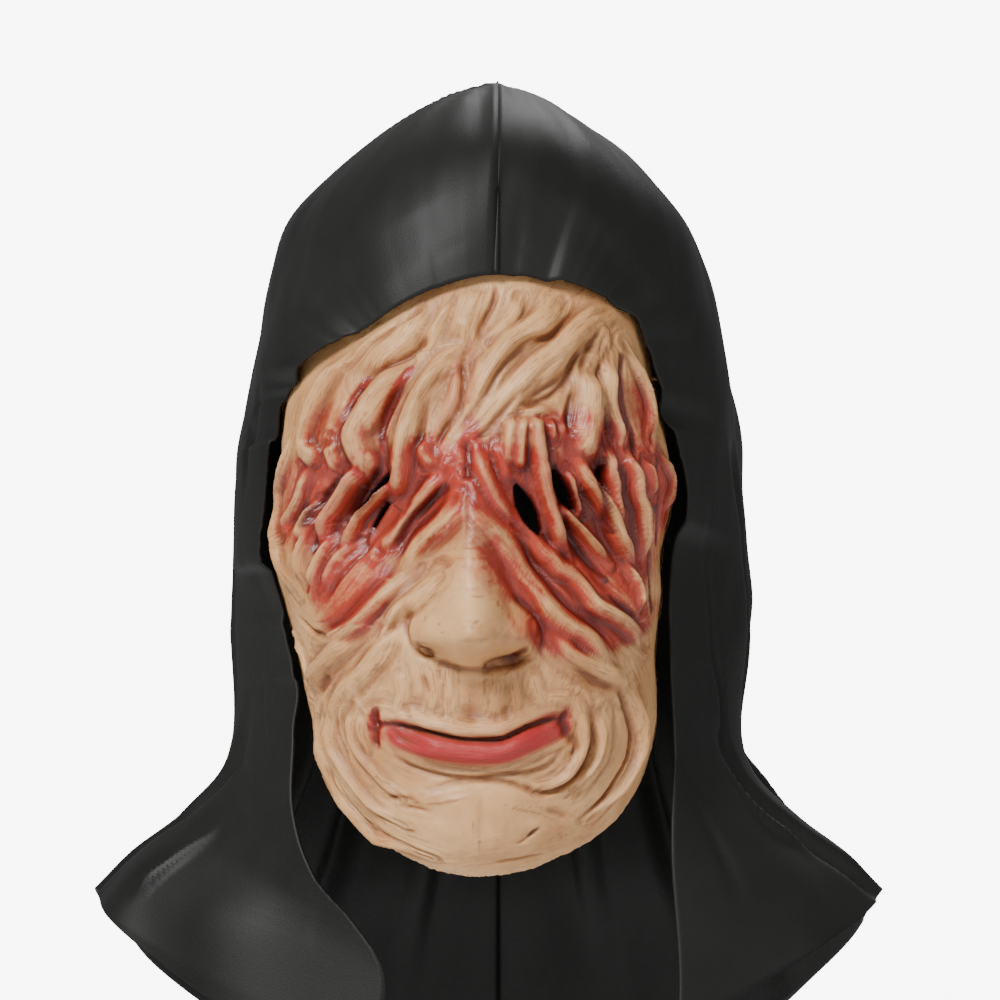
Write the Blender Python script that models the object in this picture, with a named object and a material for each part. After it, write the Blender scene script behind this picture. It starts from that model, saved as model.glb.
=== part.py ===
"""A cast latex face mask of melted strands, with the two-panel cloth hood that is fastened round its rim.

Metres, +Z up, the face towards -Y. The origin is the inside of the hood's crown, where it rests on a head.
"""

import bpy
import numpy as np

# Driving dimensions of the face
FACE_WIDTH = 0.172
FACE_HEIGHT = 0.272
FACE_DEPTH = 0.073
FACE_FORWARD = 0.118
FACE_DROP = 0.205
FACE_SHIFT = -0.003
FACE_WALL = 0.0035
RIM_TURN = 0.022
NOSE_HEIGHT = 0.032
SOCKET_DEPTH = 0.012
LIP_HEIGHT = 0.006
CHIN_HEIGHT = 0.007
STRAND_HEIGHT = 0.0068

# Driving dimensions of the hood
HOOD_HEIGHT = 0.450
HOOD_WIDTH = 0.226
HOOD_DEPTH = 0.234
HOOD_SHIFT = 0.003
SEAM_SHIFT = 0.004
CLOTH = 0.0012
FOLD_HEIGHT = 0.010
PIECE_GAP = 0.0003
EDGE_LIFT = 0.0019

# How finely the pieces are worked out
FACE_CELLS = (110, 150)
FACE_TRIANGLES = 6400
INNER_SHARE = 0.25
HOOD_MARGIN = 0.06
HOOD_CELLS = (26, 25)
EDGE_REACH = 7

# The face's outline, one row for each turn from the wearer's left: how far it reaches past a plain
# ellipse of the face's size, how far back its edge lies as a share of FACE_DEPTH, how far the wall
# runs on behind the edge in RIM_TURNs, how rounded it is there (1 is a full quarter turn), and where
# the hood's front edge lies, as a share of the outline's reach.
OUTLINE = (
    # turn, reach, back, turn-in, round, hood edge
    (0, 0.96, 1.00, 1.20, 1.00, 1.10),
    (15, 1.02, 0.97, 1.05, 1.00, 1.10),
    (30, 1.02, 0.92, 0.90, 1.00, 1.08),
    (45, 1.02, 0.80, 0.70, 0.96, 1.02),
    (60, 1.10, 0.66, 0.45, 0.88, 0.95),
    (75, 1.05, 0.50, 0.25, 0.82, 0.885),
    (90, 1.00, 0.41, 0.20, 0.80, 0.865),
    (105, 1.02, 0.50, 0.25, 0.82, 0.835),
    (120, 1.05, 0.66, 0.45, 0.88, 0.86),
    (135, 1.07, 0.80, 0.70, 0.96, 0.94),
    (150, 1.03, 0.92, 0.90, 1.00, 1.08),
    (165, 1.00, 0.97, 1.05, 1.00, 1.10),
    (180, 1.01, 1.00, 1.20, 1.00, 1.10),
    (195, 0.96, 0.97, 1.10, 1.00, 1.10),
    (210, 0.93, 0.90, 1.00, 1.00, 1.12),
    (225, 0.96, 0.77, 0.90, 1.00, 1.15),
    (240, 1.00, 0.55, 0.80, 1.00, 1.20),
    (255, 0.99, 0.35, 0.70, 1.00, 1.25),
    (270, 0.99, 0.28, 0.65, 1.00, 1.25),
    (285, 1.03, 0.35, 0.70, 1.00, 1.25),
    (300, 1.09, 0.55, 0.80, 1.00, 1.20),
    (315, 1.06, 0.77, 0.90, 1.00, 1.15),
    (330, 0.96, 0.90, 1.00, 1.00, 1.12),
    (345, 0.94, 0.97, 1.10, 1.00, 1.10),
)

# The nose from the bridge down: the level as a share of half the face's height, half the nose's width
# as a share of half the face's width, and its height in NOSE_HEIGHTs.
NOSE = (
    # level, half width, height
    (0.42, 0.14, 0.00),
    (0.20, 0.15, 0.13),
    (0.03, 0.16, 0.34),
    (-0.12, 0.20, 0.66),
    (-0.24, 0.27, 0.94),
    (-0.31, 0.30, 1.00),
    (-0.36, 0.29, 0.68),
    (-0.41, 0.25, 0.20),
    (-0.47, 0.22, 0.00),
)
NOSE_LINE = -0.015

# The other large forms, each an oval swelling or hollow: centre and half sizes as shares of half the
# face's width and height, and height in the named unit.
SWELLINGS = (
    # name, across, up, half width, half height, height, unit
    ("left eye hollow", -0.53, 0.13, 0.38, 0.20, -1.0, SOCKET_DEPTH),
    ("right eye hollow", 0.57, 0.10, 0.42, 0.22, -1.0, SOCKET_DEPTH),
    ("left cheek", -0.52, -0.28, 0.34, 0.24, 0.5, LIP_HEIGHT),
    ("right cheek", 0.52, -0.30, 0.30, 0.24, 0.4, LIP_HEIGHT),
    ("muzzle", -0.02, -0.52, 0.52, 0.24, 1.0, LIP_HEIGHT),
    ("chin", -0.02, -0.86, 0.42, 0.20, 1.0, CHIN_HEIGHT),
    ("left nostril", -0.24, -0.29, 0.07, 0.04, -0.8, LIP_HEIGHT),
    ("right nostril", 0.15, -0.325, 0.11, 0.04, -0.8, LIP_HEIGHT),
)

# The strands and the creases between them, a row for each: three points that it runs through, its
# width as a share of half the face's width, and its height in STRAND_HEIGHTs (a crease is negative).
# Across and up are shares of half the face's width and height.
STRANDS = (
    # name, start, middle, end, width, height
    ("temple finger, left", (-0.59, 0.67), (-0.79, 0.49), (-0.83, 0.30), 0.11, 0.7),
    ("brow fold, left", (-0.27, 0.78), (-0.43, 0.66), (-0.53, 0.57), 0.14, 0.5),
    ("brow finger, left", (-0.32, 0.62), (-0.59, 0.39), (-0.51, 0.25), 0.14, 0.8),
    ("inner brow finger, left", (-0.10, 0.66), (-0.31, 0.46), (-0.36, 0.32), 0.12, 0.8),
    ("bridge finger, left", (-0.07, 0.59), (-0.09, 0.52), (-0.16, 0.41), 0.09, 0.5),
    ("inner brow crease, left", (-0.12, 0.60), (-0.26, 0.45), (-0.32, 0.31), 0.06, -0.35),
    ("bridge crease, left", (-0.06, 0.64), (-0.10, 0.45), (-0.21, 0.34), 0.06, -0.35),
    ("brow crease, left", (-0.32, 0.59), (-0.46, 0.42), (-0.46, 0.34), 0.06, -0.35),
    ("long brow fold", (0.42, 0.82), (0.13, 0.64), (-0.06, 0.43), 0.15, 0.8),
    ("long brow crease", (0.53, 0.79), (0.11, 0.58), (-0.04, 0.43), 0.06, -0.35),
    ("second brow fold", (0.67, 0.78), (0.33, 0.61), (-0.02, 0.40), 0.14, 0.8),
    ("second brow crease", (0.54, 0.68), (0.40, 0.52), (0.21, 0.44), 0.06, -0.35),
    ("outer brow lobe, right", (0.58, 0.59), (0.57, 0.43), (0.53, 0.32), 0.15, 0.9),
    ("outer brow crease, right", (0.64, 0.64), (0.61, 0.50), (0.68, 0.38), 0.05, -0.35),
    ("temple fold, right", (0.68, 0.64), (0.68, 0.48), (0.75, 0.33), 0.09, 0.6),
    ("temple channel, right", (0.73, 0.64), (0.76, 0.46), (0.79, 0.32), 0.05, -0.35),
    ("temple edge, right", (0.76, 0.68), (0.86, 0.50), (0.88, 0.37), 0.10, 0.6),
    ("outer strand, left eye", (-0.58, 0.25), (-0.68, 0.16), (-0.73, 0.09), 0.11, 1.0),
    ("thin strand, left eye", (-0.46, 0.21), (-0.56, 0.13), (-0.65, 0.05), 0.06, 0.8),
    ("pale strand, left eye", (-0.39, 0.31), (-0.38, 0.22), (-0.40, 0.18), 0.09, 0.9),
    ("nose edge, left eye", (-0.08, 0.19), (-0.28, 0.04), (-0.39, -0.05), 0.10, 0.7),
    ("cheek fold, left", (-0.18, -0.06), (-0.38, -0.17), (-0.43, -0.23), 0.09, 0.6),
    ("inner strand, right eye", (0.33, 0.31), (0.38, 0.13), (0.43, 0.04), 0.12, 1.0),
    ("middle strand, right eye", (0.51, 0.31), (0.61, 0.18), (0.79, -0.05), 0.11, 1.0),
    ("outer strand, right eye", (0.76, 0.36), (0.81, 0.15), (0.83, -0.03), 0.11, 0.9),
    ("lower lid, right eye", (0.20, 0.11), (0.47, -0.05), (0.86, -0.28), 0.10, 0.8),
    ("nose side fold, right", (-0.05, 0.22), (0.24, -0.05), (0.73, -0.40), 0.11, 0.8),
    ("nose side channel, right", (0.23, 0.09), (0.38, -0.10), (0.68, -0.28), 0.08, -0.35),
    ("jaw fold, left", (-0.58, -0.23), (-0.70, -0.30), (-0.83, -0.40), 0.10, 0.7),
    ("outer jaw fold, left", (-0.81, -0.49), (-0.60, -0.81), (-0.23, -0.95), 0.10, 0.7),
    ("inner jaw fold, left", (-0.71, -0.46), (-0.64, -0.67), (-0.35, -0.85), 0.09, 0.6),
    ("jaw crease, left", (-0.77, -0.46), (-0.73, -0.67), (-0.44, -0.88), 0.05, -0.35),
    ("inner jaw fold, right", (0.51, -0.45), (0.51, -0.64), (0.33, -0.73), 0.10, 0.6),
    ("jaw crease, right", (0.65, -0.41), (0.79, -0.56), (0.54, -0.82), 0.06, -0.35),
    ("outer jaw fold, right", (0.76, -0.41), (0.81, -0.56), (0.58, -0.82), 0.09, 0.6),
    ("outer jaw crease, right", (0.86, -0.46), (0.82, -0.65), (0.59, -0.85), 0.05, -0.35),
    ("cheek fold, right", (0.36, -0.22), (0.47, -0.30), (0.75, -0.42), 0.11, 0.6),
    ("cheek crease, right", (0.33, -0.23), (0.53, -0.35), (0.74, -0.44), 0.06, -0.35),
    ("chin crease", (-0.27, -0.75), (0.01, -0.71), (0.47, -0.72), 0.06, -0.35),
    ("lower lip", (-0.38, -0.60), (-0.03, -0.63), (0.35, -0.60), 0.14, 0.9),
    ("line of the mouth", (-0.48, -0.52), (-0.03, -0.57), (0.43, -0.51), 0.06, -0.9),
    ("crease below the lip", (-0.44, -0.59), (-0.10, -0.70), (0.44, -0.59), 0.06, -0.35),
    ("hollow above the lip", (-0.02, -0.37), (-0.02, -0.46), (-0.02, -0.55), 0.11, -0.3),
    ("mouth corner, left", (-0.50, -0.46), (-0.49, -0.54), (-0.50, -0.62), 0.07, -0.35),
    ("mouth corner, right", (0.47, -0.48), (0.48, -0.55), (0.47, -0.64), 0.07, -0.35),
)

# The slits that are cut right through between the strands of the eye hollows, a row for each, in the
# same shares as the strands.
SLITS = (
    # name, start, middle, end, width
    ("outer slit, left eye", (-0.405, 0.272), (-0.515, 0.180), (-0.625, 0.114), 0.060),
    ("inner slit, left eye", (-0.425, 0.180), (-0.485, 0.120), (-0.530, 0.063), 0.032),
    ("inner slit, right eye", (0.205, 0.225), (0.250, 0.165), (0.320, 0.073), 0.090),
    ("middle slit, right eye", (0.390, 0.285), (0.425, 0.222), (0.480, 0.149), 0.060),
    ("outer slit, right eye", (0.630, 0.304), (0.612, 0.250), (0.620, 0.200), 0.040),
)

# The hood's level rings from the crown down: half width as a share of HOOD_WIDTH, reach to the front
# and to the back as shares of HOOD_DEPTH, and how far down the ring lies at the side, the front and
# the back as shares of HOOD_HEIGHT.
RINGS = (
    # half width, front, back, side drop, front drop, back drop
    (0.00, 0.00, 0.00, 0.000, 0.000, 0.000),
    (0.20, 0.24, 0.22, 0.044, 0.022, 0.027),
    (0.31, 0.37, 0.36, 0.089, 0.067, 0.078),
    (0.385, 0.43, 0.45, 0.133, 0.122, 0.144),
    (0.42, 0.455, 0.485, 0.178, 0.178, 0.200),
    (0.455, 0.47, 0.515, 0.256, 0.267, 0.278),
    (0.495, 0.48, 0.520, 0.389, 0.389, 0.411),
    (0.505, 0.48, 0.505, 0.522, 0.522, 0.533),
    (0.525, 0.48, 0.480, 0.667, 0.667, 0.667),
    (0.60, 0.465, 0.475, 0.707, 0.767, 0.767),
    (0.71, 0.48, 0.515, 0.751, 0.878, 0.878),
    (0.76, 0.50, 0.550, 0.778, 0.956, 1.000),
)
CROWN_BACK = 0.02
SEAM_START = 4.4
SEAM_CORNER = 4.0

# Each panel's front edge from the forehead down: turn about the face's centre, reach as a share of the
# face's outline there, and how far back it lies from the face's front as a share of FACE_DEPTH. Where
# the reach is under 1 the edge lies on the face, and the last column isn't used.
FRONT_EDGES = {
    "hood_right": (
        # turn, reach, back
        (87, 0.865, 0.30),
        (72, 0.885, 0.40),
        (62, 0.94, 0.55),
        (52, 0.99, 0.75),
        (41, 1.005, 0.86),
        (22, 1.01, 0.95),
        (4, 1.01, 0.98),
        (-13, 1.03, 0.95),
        (-27, 1.07, 0.90),
        (-44, 1.10, 0.78),
        (-57, 1.25, 0.55),
        (-67, 1.68, 0.32),
    ),
    "hood_left": (
        # turn, reach, back
        (87, 0.865, 0.30),
        (103, 0.830, 0.40),
        (117, 0.85, 0.55),
        (130, 0.92, 0.75),
        (143, 1.00, 0.88),
        (160, 1.01, 0.97),
        (180, 1.01, 0.98),
        (200, 1.01, 0.96),
        (222, 1.05, 0.84),
        (234, 1.18, 0.66),
        (243, 1.24, 0.52),
        (252, 1.27, 0.42),
        (258, 1.38, 0.34),
        (258, 1.72, 0.28),
    ),
}

# The hood's folds, a row for each: three points as turn from the front in degrees and drop as a share
# of HOOD_HEIGHT, the width as a share of HOOD_WIDTH and the height in FOLD_HEIGHTs (a furrow is
# negative).
FOLDS = {
    "hood_right": (
        # name, start, middle, end, width, height
        ("fold over the shoulder", (42, 0.63), (50, 0.74), (54, 0.82), 0.16, 0.7),
        ("furrow over the shoulder", (58, 0.60), (66, 0.68), (72, 0.75), 0.14, -0.5),
        ("fold beside the temple", (52, 0.30), (60, 0.40), (52, 0.56), 0.14, 0.6),
        ("fold above the forehead", (0, 0.155), (24, 0.165), (44, 0.21), 0.10, 0.4),
        ("furrow behind the ear", (95, 0.30), (110, 0.45), (105, 0.62), 0.20, -0.5),
        ("fold at the nape", (130, 0.45), (140, 0.62), (135, 0.85), 0.18, 0.6),
        ("furrow at the back", (160, 0.50), (158, 0.70), (162, 0.95), 0.16, -0.5),
    ),
    "hood_left": (
        # name, start, middle, end, width, height
        ("fold over the shoulder", (50, 0.58), (46, 0.72), (40, 0.88), 0.14, 0.7),
        ("furrow over the shoulder", (64, 0.46), (60, 0.60), (66, 0.74), 0.14, -0.5),
        ("fold beside the temple", (78, 0.36), (84, 0.42), (74, 0.52), 0.16, 0.5),
        ("fold above the forehead", (0, 0.155), (26, 0.170), (48, 0.23), 0.10, 0.4),
        ("furrow behind the ear", (100, 0.32), (112, 0.46), (104, 0.64), 0.20, -0.5),
        ("fold at the nape", (135, 0.45), (142, 0.62), (138, 0.85), 0.18, 0.6),
        ("furrow at the back", (162, 0.52), (160, 0.72), (165, 0.95), 0.16, -0.5),
    ),
}

# Colour, roughness and metallic value of each material, as linear red, green and blue
FINISHES = {
    "latex": ((0.62, 0.36, 0.20), 0.42, 0.0),
    "hood_cloth": ((0.010, 0.010, 0.009), 0.60, 0.0),
}


def smooth_rows(rows, knots, places):
    """Values between table rows: a cubic through them whose slope at a row is that of its neighbours."""
    rows = np.asarray(rows, dtype=float)
    knots = np.asarray(knots, dtype=float)
    slopes = np.gradient(rows, knots, axis=0)
    index = np.clip(np.searchsorted(knots, places, side="right") - 1, 0, len(knots) - 2)
    span = knots[index + 1] - knots[index]
    t = np.clip((places - knots[index]) / span, 0.0, 1.0)[..., None]
    span = span[..., None]
    low, high = rows[index], rows[index + 1]
    start = (1 + 2 * t) * (1 - t) ** 2 * low + t * (1 - t) ** 2 * span * slopes[index]
    end = t * t * (3 - 2 * t) * high - t * t * (1 - t) * span * slopes[index + 1]
    return start + end


def outline_at(turn):
    """The outline table's columns at a turn in radians, running smoothly round the whole face."""
    table = np.asarray(OUTLINE, dtype=float)
    knots = np.concatenate((table[-3:, 0] - 360, table[:, 0], table[:3, 0] + 360))
    rows = np.vstack((table[-3:, 1:], table[:, 1:], table[:3, 1:]))
    reach, back, turn_in, roundness, hood = np.moveaxis(
        smooth_rows(rows, knots, np.degrees(turn) % 360), -1, 0
    )
    half_width, half_height = FACE_WIDTH / 2, FACE_HEIGHT / 2
    ellipse = half_width * half_height / np.hypot(half_height * np.cos(turn), half_width * np.sin(turn))
    return reach * ellipse, back * FACE_DEPTH, turn_in * RIM_TURN, np.minimum(roundness, 0.999), hood


def unrolled(across, up):
    """From the front view to the face laid out flat: a point's reach becomes the length of its arc."""
    turn = np.arctan2(up, across)
    radius, _, _, roundness, _ = outline_at(turn)
    share = np.hypot(across, up) / radius
    arc = np.arcsin(np.clip(share, 0, 1) * roundness) / roundness + np.maximum(share - 1, 0)
    return arc * radius * np.cos(turn), arc * radius * np.sin(turn)


def dome(across, up):
    """The plain dome of the face over its flat layout.

    Up to the outline a section through the centre is an arc that ends at the rim's depth; past it the
    wall runs straight on, so that it stands behind the edge that shows from the front.
    """
    turn = np.arctan2(up, across)
    radius, back, _, roundness, _ = outline_at(turn)
    arc = np.hypot(across, up)
    limit = np.arcsin(roundness) / roundness * radius
    angle = np.minimum(arc, limit) * roundness / radius
    past = np.maximum(arc - limit, 0)
    last = np.arcsin(roundness)
    reach = radius * np.sin(angle) / roundness + past * np.cos(last)
    depth = back * (1 - np.cos(angle)) / (1 - np.cos(last)) + past * np.sin(last)
    return np.stack(
        (FACE_SHIFT + reach * np.cos(turn), depth - FACE_FORWARD, reach * np.sin(turn) - FACE_DROP), axis=-1
    )


def normals_of(points):
    """Unit normals of a grid of points, from the differences between its rows and its columns."""
    normal = np.cross(np.gradient(points, axis=1), np.gradient(points, axis=0))
    return normal / np.maximum(np.linalg.norm(normal, axis=-1, keepdims=True), 1e-12)


def curve_through(start, middle, end, count=10):
    """Points of the parabola that runs through three points."""
    t = np.linspace(0, 1, count)[:, None]
    start, middle, end = (np.asarray(point, dtype=float) for point in (start, middle, end))
    return start * (1 - t) * (1 - 2 * t) + middle * 4 * t * (1 - t) + end * t * (2 * t - 1)


def distance_to(path, across, up):
    """The distance of each point from a path, and the share of the path at which it is nearest."""
    best = np.full(across.shape, np.inf)
    share = np.zeros(across.shape)
    for index in range(len(path) - 1):
        step = path[index + 1] - path[index]
        along = (across - path[index, 0]) * step[0] + (up - path[index, 1]) * step[1]
        t = np.clip(along / max(step @ step, 1e-18), 0, 1)
        distance = np.hypot(across - path[index, 0] - t * step[0], up - path[index, 1] - t * step[1])
        nearer = distance < best
        best = np.where(nearer, distance, best)
        share = np.where(nearer, (index + t) / (len(path) - 1), share)
    return best, share


def rounded(distance, half_width):
    """The cross-section of a strand: a round top that meets the surface beside it without a corner."""
    q = np.clip(distance / half_width, 0, 1)
    return (1 - q * q) ** 2


def face_path(points):
    """A strand's path in the face's flat layout, from its three points in shares."""
    path = curve_through(*points) * (FACE_WIDTH / 2, FACE_HEIGHT / 2)
    return np.stack(unrolled(path[:, 0], path[:, 1]), axis=-1)


def large_forms(front_across, front_up):
    """The height of nose, eye hollows, cheeks, muzzle and chin over the dome, by place in the front view."""
    table = np.asarray(NOSE, dtype=float)[::-1]
    level = front_up / (FACE_HEIGHT / 2)
    half_width, height = np.moveaxis(smooth_rows(table[:, 1:], table[:, 0], level), -1, 0)
    beside = (front_across / (FACE_WIDTH / 2) - NOSE_LINE) / np.maximum(half_width, 0.05)
    inside = (level > table[0, 0]) & (level < table[-1, 0])
    total = np.where(inside, NOSE_HEIGHT * np.maximum(height, 0) * np.exp(-1.6 * beside**2), 0)
    for _, across, up, wide, tall, height, unit in SWELLINGS:
        dx = (front_across / (FACE_WIDTH / 2) - across) / wide
        dz = (front_up / (FACE_HEIGHT / 2) - up) / tall
        total += height * unit * np.clip(1 - (dx * dx + dz * dz) / 2, 0, 1) ** 2
    return total


def strands(across, up):
    """The height of the strands and creases over the large forms, at places in the flat layout."""
    ridge = np.zeros(across.shape)
    crease = np.zeros(across.shape)
    for _, start, middle, end, width, height in STRANDS:
        distance, share = distance_to(face_path((start, middle, end)), across, up)
        taper = np.clip(4 * share, 0.35, 1) * np.clip(4 * (1 - share), 0.35, 1)
        form = height * STRAND_HEIGHT * taper * rounded(distance, width * FACE_WIDTH * 0.36)
        ridge = np.maximum(ridge, form)
        crease = np.minimum(crease, form)
    return ridge + crease


def square_to_disc(cells):
    """A grid of points that covers the unit disc: a square whose sides are bent out to the circle."""
    columns, rows = cells
    a, b = np.meshgrid(np.linspace(-1, 1, columns), np.linspace(-1, 1, rows))
    return a * np.sqrt(1 - b * b / 2), b * np.sqrt(1 - a * a / 2)


def relief(across, up):
    """The strands at places in the flat layout, smoothed away where the hood's edge lies on the face."""
    turn = np.arctan2(up, across)
    radius, _, _, roundness, hood = outline_at(turn)
    angle = np.minimum(np.hypot(across, up) * roundness / radius, np.arcsin(roundness))
    clear = np.clip((hood - np.sin(angle) / roundness) / HOOD_MARGIN, 0, 1)
    return strands(across, up) * clear * clear * (3 - 2 * clear)


def face_surfaces():
    """The grids of points of the face's outer and inner surface."""
    u, v = square_to_disc(FACE_CELLS)
    turn = np.arctan2(v, u)
    radius, _, turn_in, roundness, _ = outline_at(turn)
    limit = np.arcsin(roundness) / roundness * radius
    arc = np.hypot(u, v) * (limit + turn_in)
    across, up = arc * np.cos(turn), arc * np.sin(turn)
    base = dome(across, up)
    outward = normals_of(base)
    low = large_forms(base[..., 0] - FACE_SHIFT, base[..., 2] + FACE_DROP)
    high = relief(across, up)
    outer = base + outward * (low + high)[..., None]
    inner = base + outward * (low + INNER_SHARE * np.maximum(high, 0) - FACE_WALL)[..., None]
    return outer, inner


def grid_faces(columns, rows, first=0, flip=False):
    """The four-sided faces between the points of a grid, row by row."""
    index = np.arange(columns * rows).reshape(rows, columns) + first
    faces = np.stack((index[:-1, :-1], index[:-1, 1:], index[1:, 1:], index[1:, :-1]), axis=-1)
    faces = faces.reshape(-1, 4)
    return faces[:, ::-1] if flip else faces


def rim_faces(columns, rows, second):
    """The faces that join the borders of two equal grids, the second starting at the given point."""
    index = np.arange(columns * rows).reshape(rows, columns)
    border = np.concatenate((index[0, :-1], index[:-1, -1], index[-1, :0:-1], index[:0:-1, 0]))
    after = np.roll(border, -1)
    return np.stack((after, border, border + second, after + second), axis=-1)


def new_shell(name, outer, inner, material, collection, flip=False):
    """One closed wall between two equal grids of points, joined round their borders, shaded smooth."""
    rows, columns = outer.shape[:2]
    second = columns * rows
    faces = np.vstack(
        (grid_faces(columns, rows), grid_faces(columns, rows, second, True), rim_faces(columns, rows, second))
    )
    if flip:
        faces = faces[:, ::-1]
    points = np.concatenate((outer, inner))
    mesh = bpy.data.meshes.new(name)
    mesh.from_pydata(points.reshape(-1, 3).tolist(), [], faces.tolist())
    mesh.materials.append(material)
    mesh.shade_smooth()
    mesh.update()
    piece = bpy.data.objects.new(name, mesh)
    collection.objects.link(piece)
    return piece


def make_face(material, collection):
    """The cast shell: outer and inner surface joined round the rim, with flat areas in larger faces."""
    outer, inner = face_surfaces()
    face = new_shell("face_mask", outer, inner, material, collection)
    thin = face.modifiers.new("fewer faces", "DECIMATE")
    thin.ratio = FACE_TRIANGLES / (2 * len(face.data.polygons))
    thin.use_collapse_triangulate = True
    return face


def make_slit_cutters(face, collection):
    """One prism for each slit, as wide as the slit in the middle and pointed at its ends."""
    for name, start, middle, end, width in SLITS:
        path = curve_through(start, middle, end, 9) * (FACE_WIDTH / 2, FACE_HEIGHT / 2)
        along = np.gradient(path, axis=0)
        along /= np.linalg.norm(along, axis=1, keepdims=True)
        half = width * FACE_WIDTH / 4 * np.sin(np.linspace(0, np.pi, len(path)))[:, None]
        side = np.stack((-along[:, 1], along[:, 0]), axis=-1) * half
        loop = np.vstack((path + side, (path - side)[-2:0:-1]))
        around = np.arange(len(loop))
        after = np.roll(around, -1)
        near = np.stack((loop[:, 0], np.full(len(loop), -0.2), loop[:, 1]), axis=-1)
        far = near + (0, 0.2, 0)
        points = np.concatenate((near, far)) + (FACE_SHIFT, 0, -FACE_DROP)
        mesh = bpy.data.meshes.new(name)
        count = len(loop)
        walls = np.stack((around, after, after + count, around + count), axis=-1).tolist()
        mesh.from_pydata(points.tolist(), [], [around[::-1].tolist(), (around + count).tolist()] + walls)
        cutter = bpy.data.objects.new(name, mesh)
        cutter.hide_render = True
        cutter.display_type = "WIRE"
        collection.objects.link(cutter)
        cut = face.modifiers.new(name, "BOOLEAN")
        cut.operation = "DIFFERENCE"
        cut.object = cutter


def ring_lengths():
    """How far each ring lies from the crown, measured over the hood's side."""
    table = np.asarray(RINGS) * (HOOD_WIDTH, HOOD_DEPTH, HOOD_DEPTH, HOOD_HEIGHT, HOOD_HEIGHT, HOOD_HEIGHT)
    steps = np.hypot(np.diff(table[:, 0]), np.diff(table[:, 3]))
    return table, np.concatenate(([0], np.cumsum(steps)))


def hood_ring(turn, length):
    """The hood's plain form: the point at a turn from the front and a length down from the crown.

    Each level is an oval with its own reach to the front and to the back, and its front and back dip
    below its sides. Over the crown the form is mirrored, so that it closes in a smooth top.
    """
    table, lengths = ring_lengths()
    above = table[2:0:-1] * (-1, -1, -1, 1, 1, 1)
    rows = np.vstack((above, table))
    knots = np.concatenate((-lengths[2:0:-1], lengths))
    values = smooth_rows(rows, knots, length)
    width, front, back, side_drop, front_drop, back_drop = np.moveaxis(values, -1, 0)
    ahead = np.cos(turn) > 0
    reach = np.where(ahead, front, back)
    drop = side_drop + (np.where(ahead, front_drop, back_drop) - side_drop) * np.abs(np.cos(turn)) ** 1.5
    return np.stack((width * np.sin(turn), CROWN_BACK * HOOD_DEPTH - reach * np.cos(turn), -drop), axis=-1)


def length_at(turn, drop):
    """The length down from the crown at which the plain form has a given drop, at a given turn."""
    lengths = np.linspace(0, ring_lengths()[1][-1], 200)
    turns = np.broadcast_to(np.asarray(turn, dtype=float), np.shape(drop))
    found = [
        np.interp(one_drop, -hood_ring(np.full(200, one_turn), lengths)[:, 2], lengths)
        for one_turn, one_drop in zip(turns, drop)
    ]
    return np.asarray(found)


def highest_near(turn, angle):
    """How far the highest strand near each place of the face stands out over it."""
    around = np.radians(np.arange(-EDGE_REACH, EDGE_REACH + 1))
    turns = turn[:, None] + around
    radius, _, _, roundness, _ = outline_at(turns)
    height = np.zeros(turns.shape)
    for share in (0.94, 1.0, 1.06, 1.12):
        arc = angle[:, None] / roundness * radius * share
        height = np.maximum(height, relief(arc * np.cos(turns), arc * np.sin(turns)))
    return height.max(axis=1)


def front_edge(name, count):
    """Points of a panel's front edge in space: on the face where it covers it, and beside it below."""
    table = np.asarray(FRONT_EDGES[name], dtype=float)
    places = np.linspace(0, len(table) - 1, count)
    turn, reach, back = np.moveaxis(smooth_rows(table, np.arange(len(table)), places), -1, 0)
    turn = np.radians(turn)
    radius, rim, _, roundness, _ = outline_at(turn)
    angle = np.arcsin(np.clip(reach, 0, 1) * roundness)
    on_face = rim * (1 - np.cos(angle)) / (1 - np.cos(np.arcsin(roundness)))
    blend = np.clip((reach - 0.97) / 0.04, 0, 1)
    depth = on_face * (1 - blend) + back * FACE_DEPTH * blend
    lift = PIECE_GAP + EDGE_LIFT + highest_near(turn, angle)
    radius = radius * reach + lift * np.sin(angle)
    return np.stack(
        (
            FACE_SHIFT + radius * np.cos(turn),
            depth - FACE_FORWARD - lift * np.cos(angle),
            radius * np.sin(turn) - FACE_DROP,
        ),
        axis=-1,
    )


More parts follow.
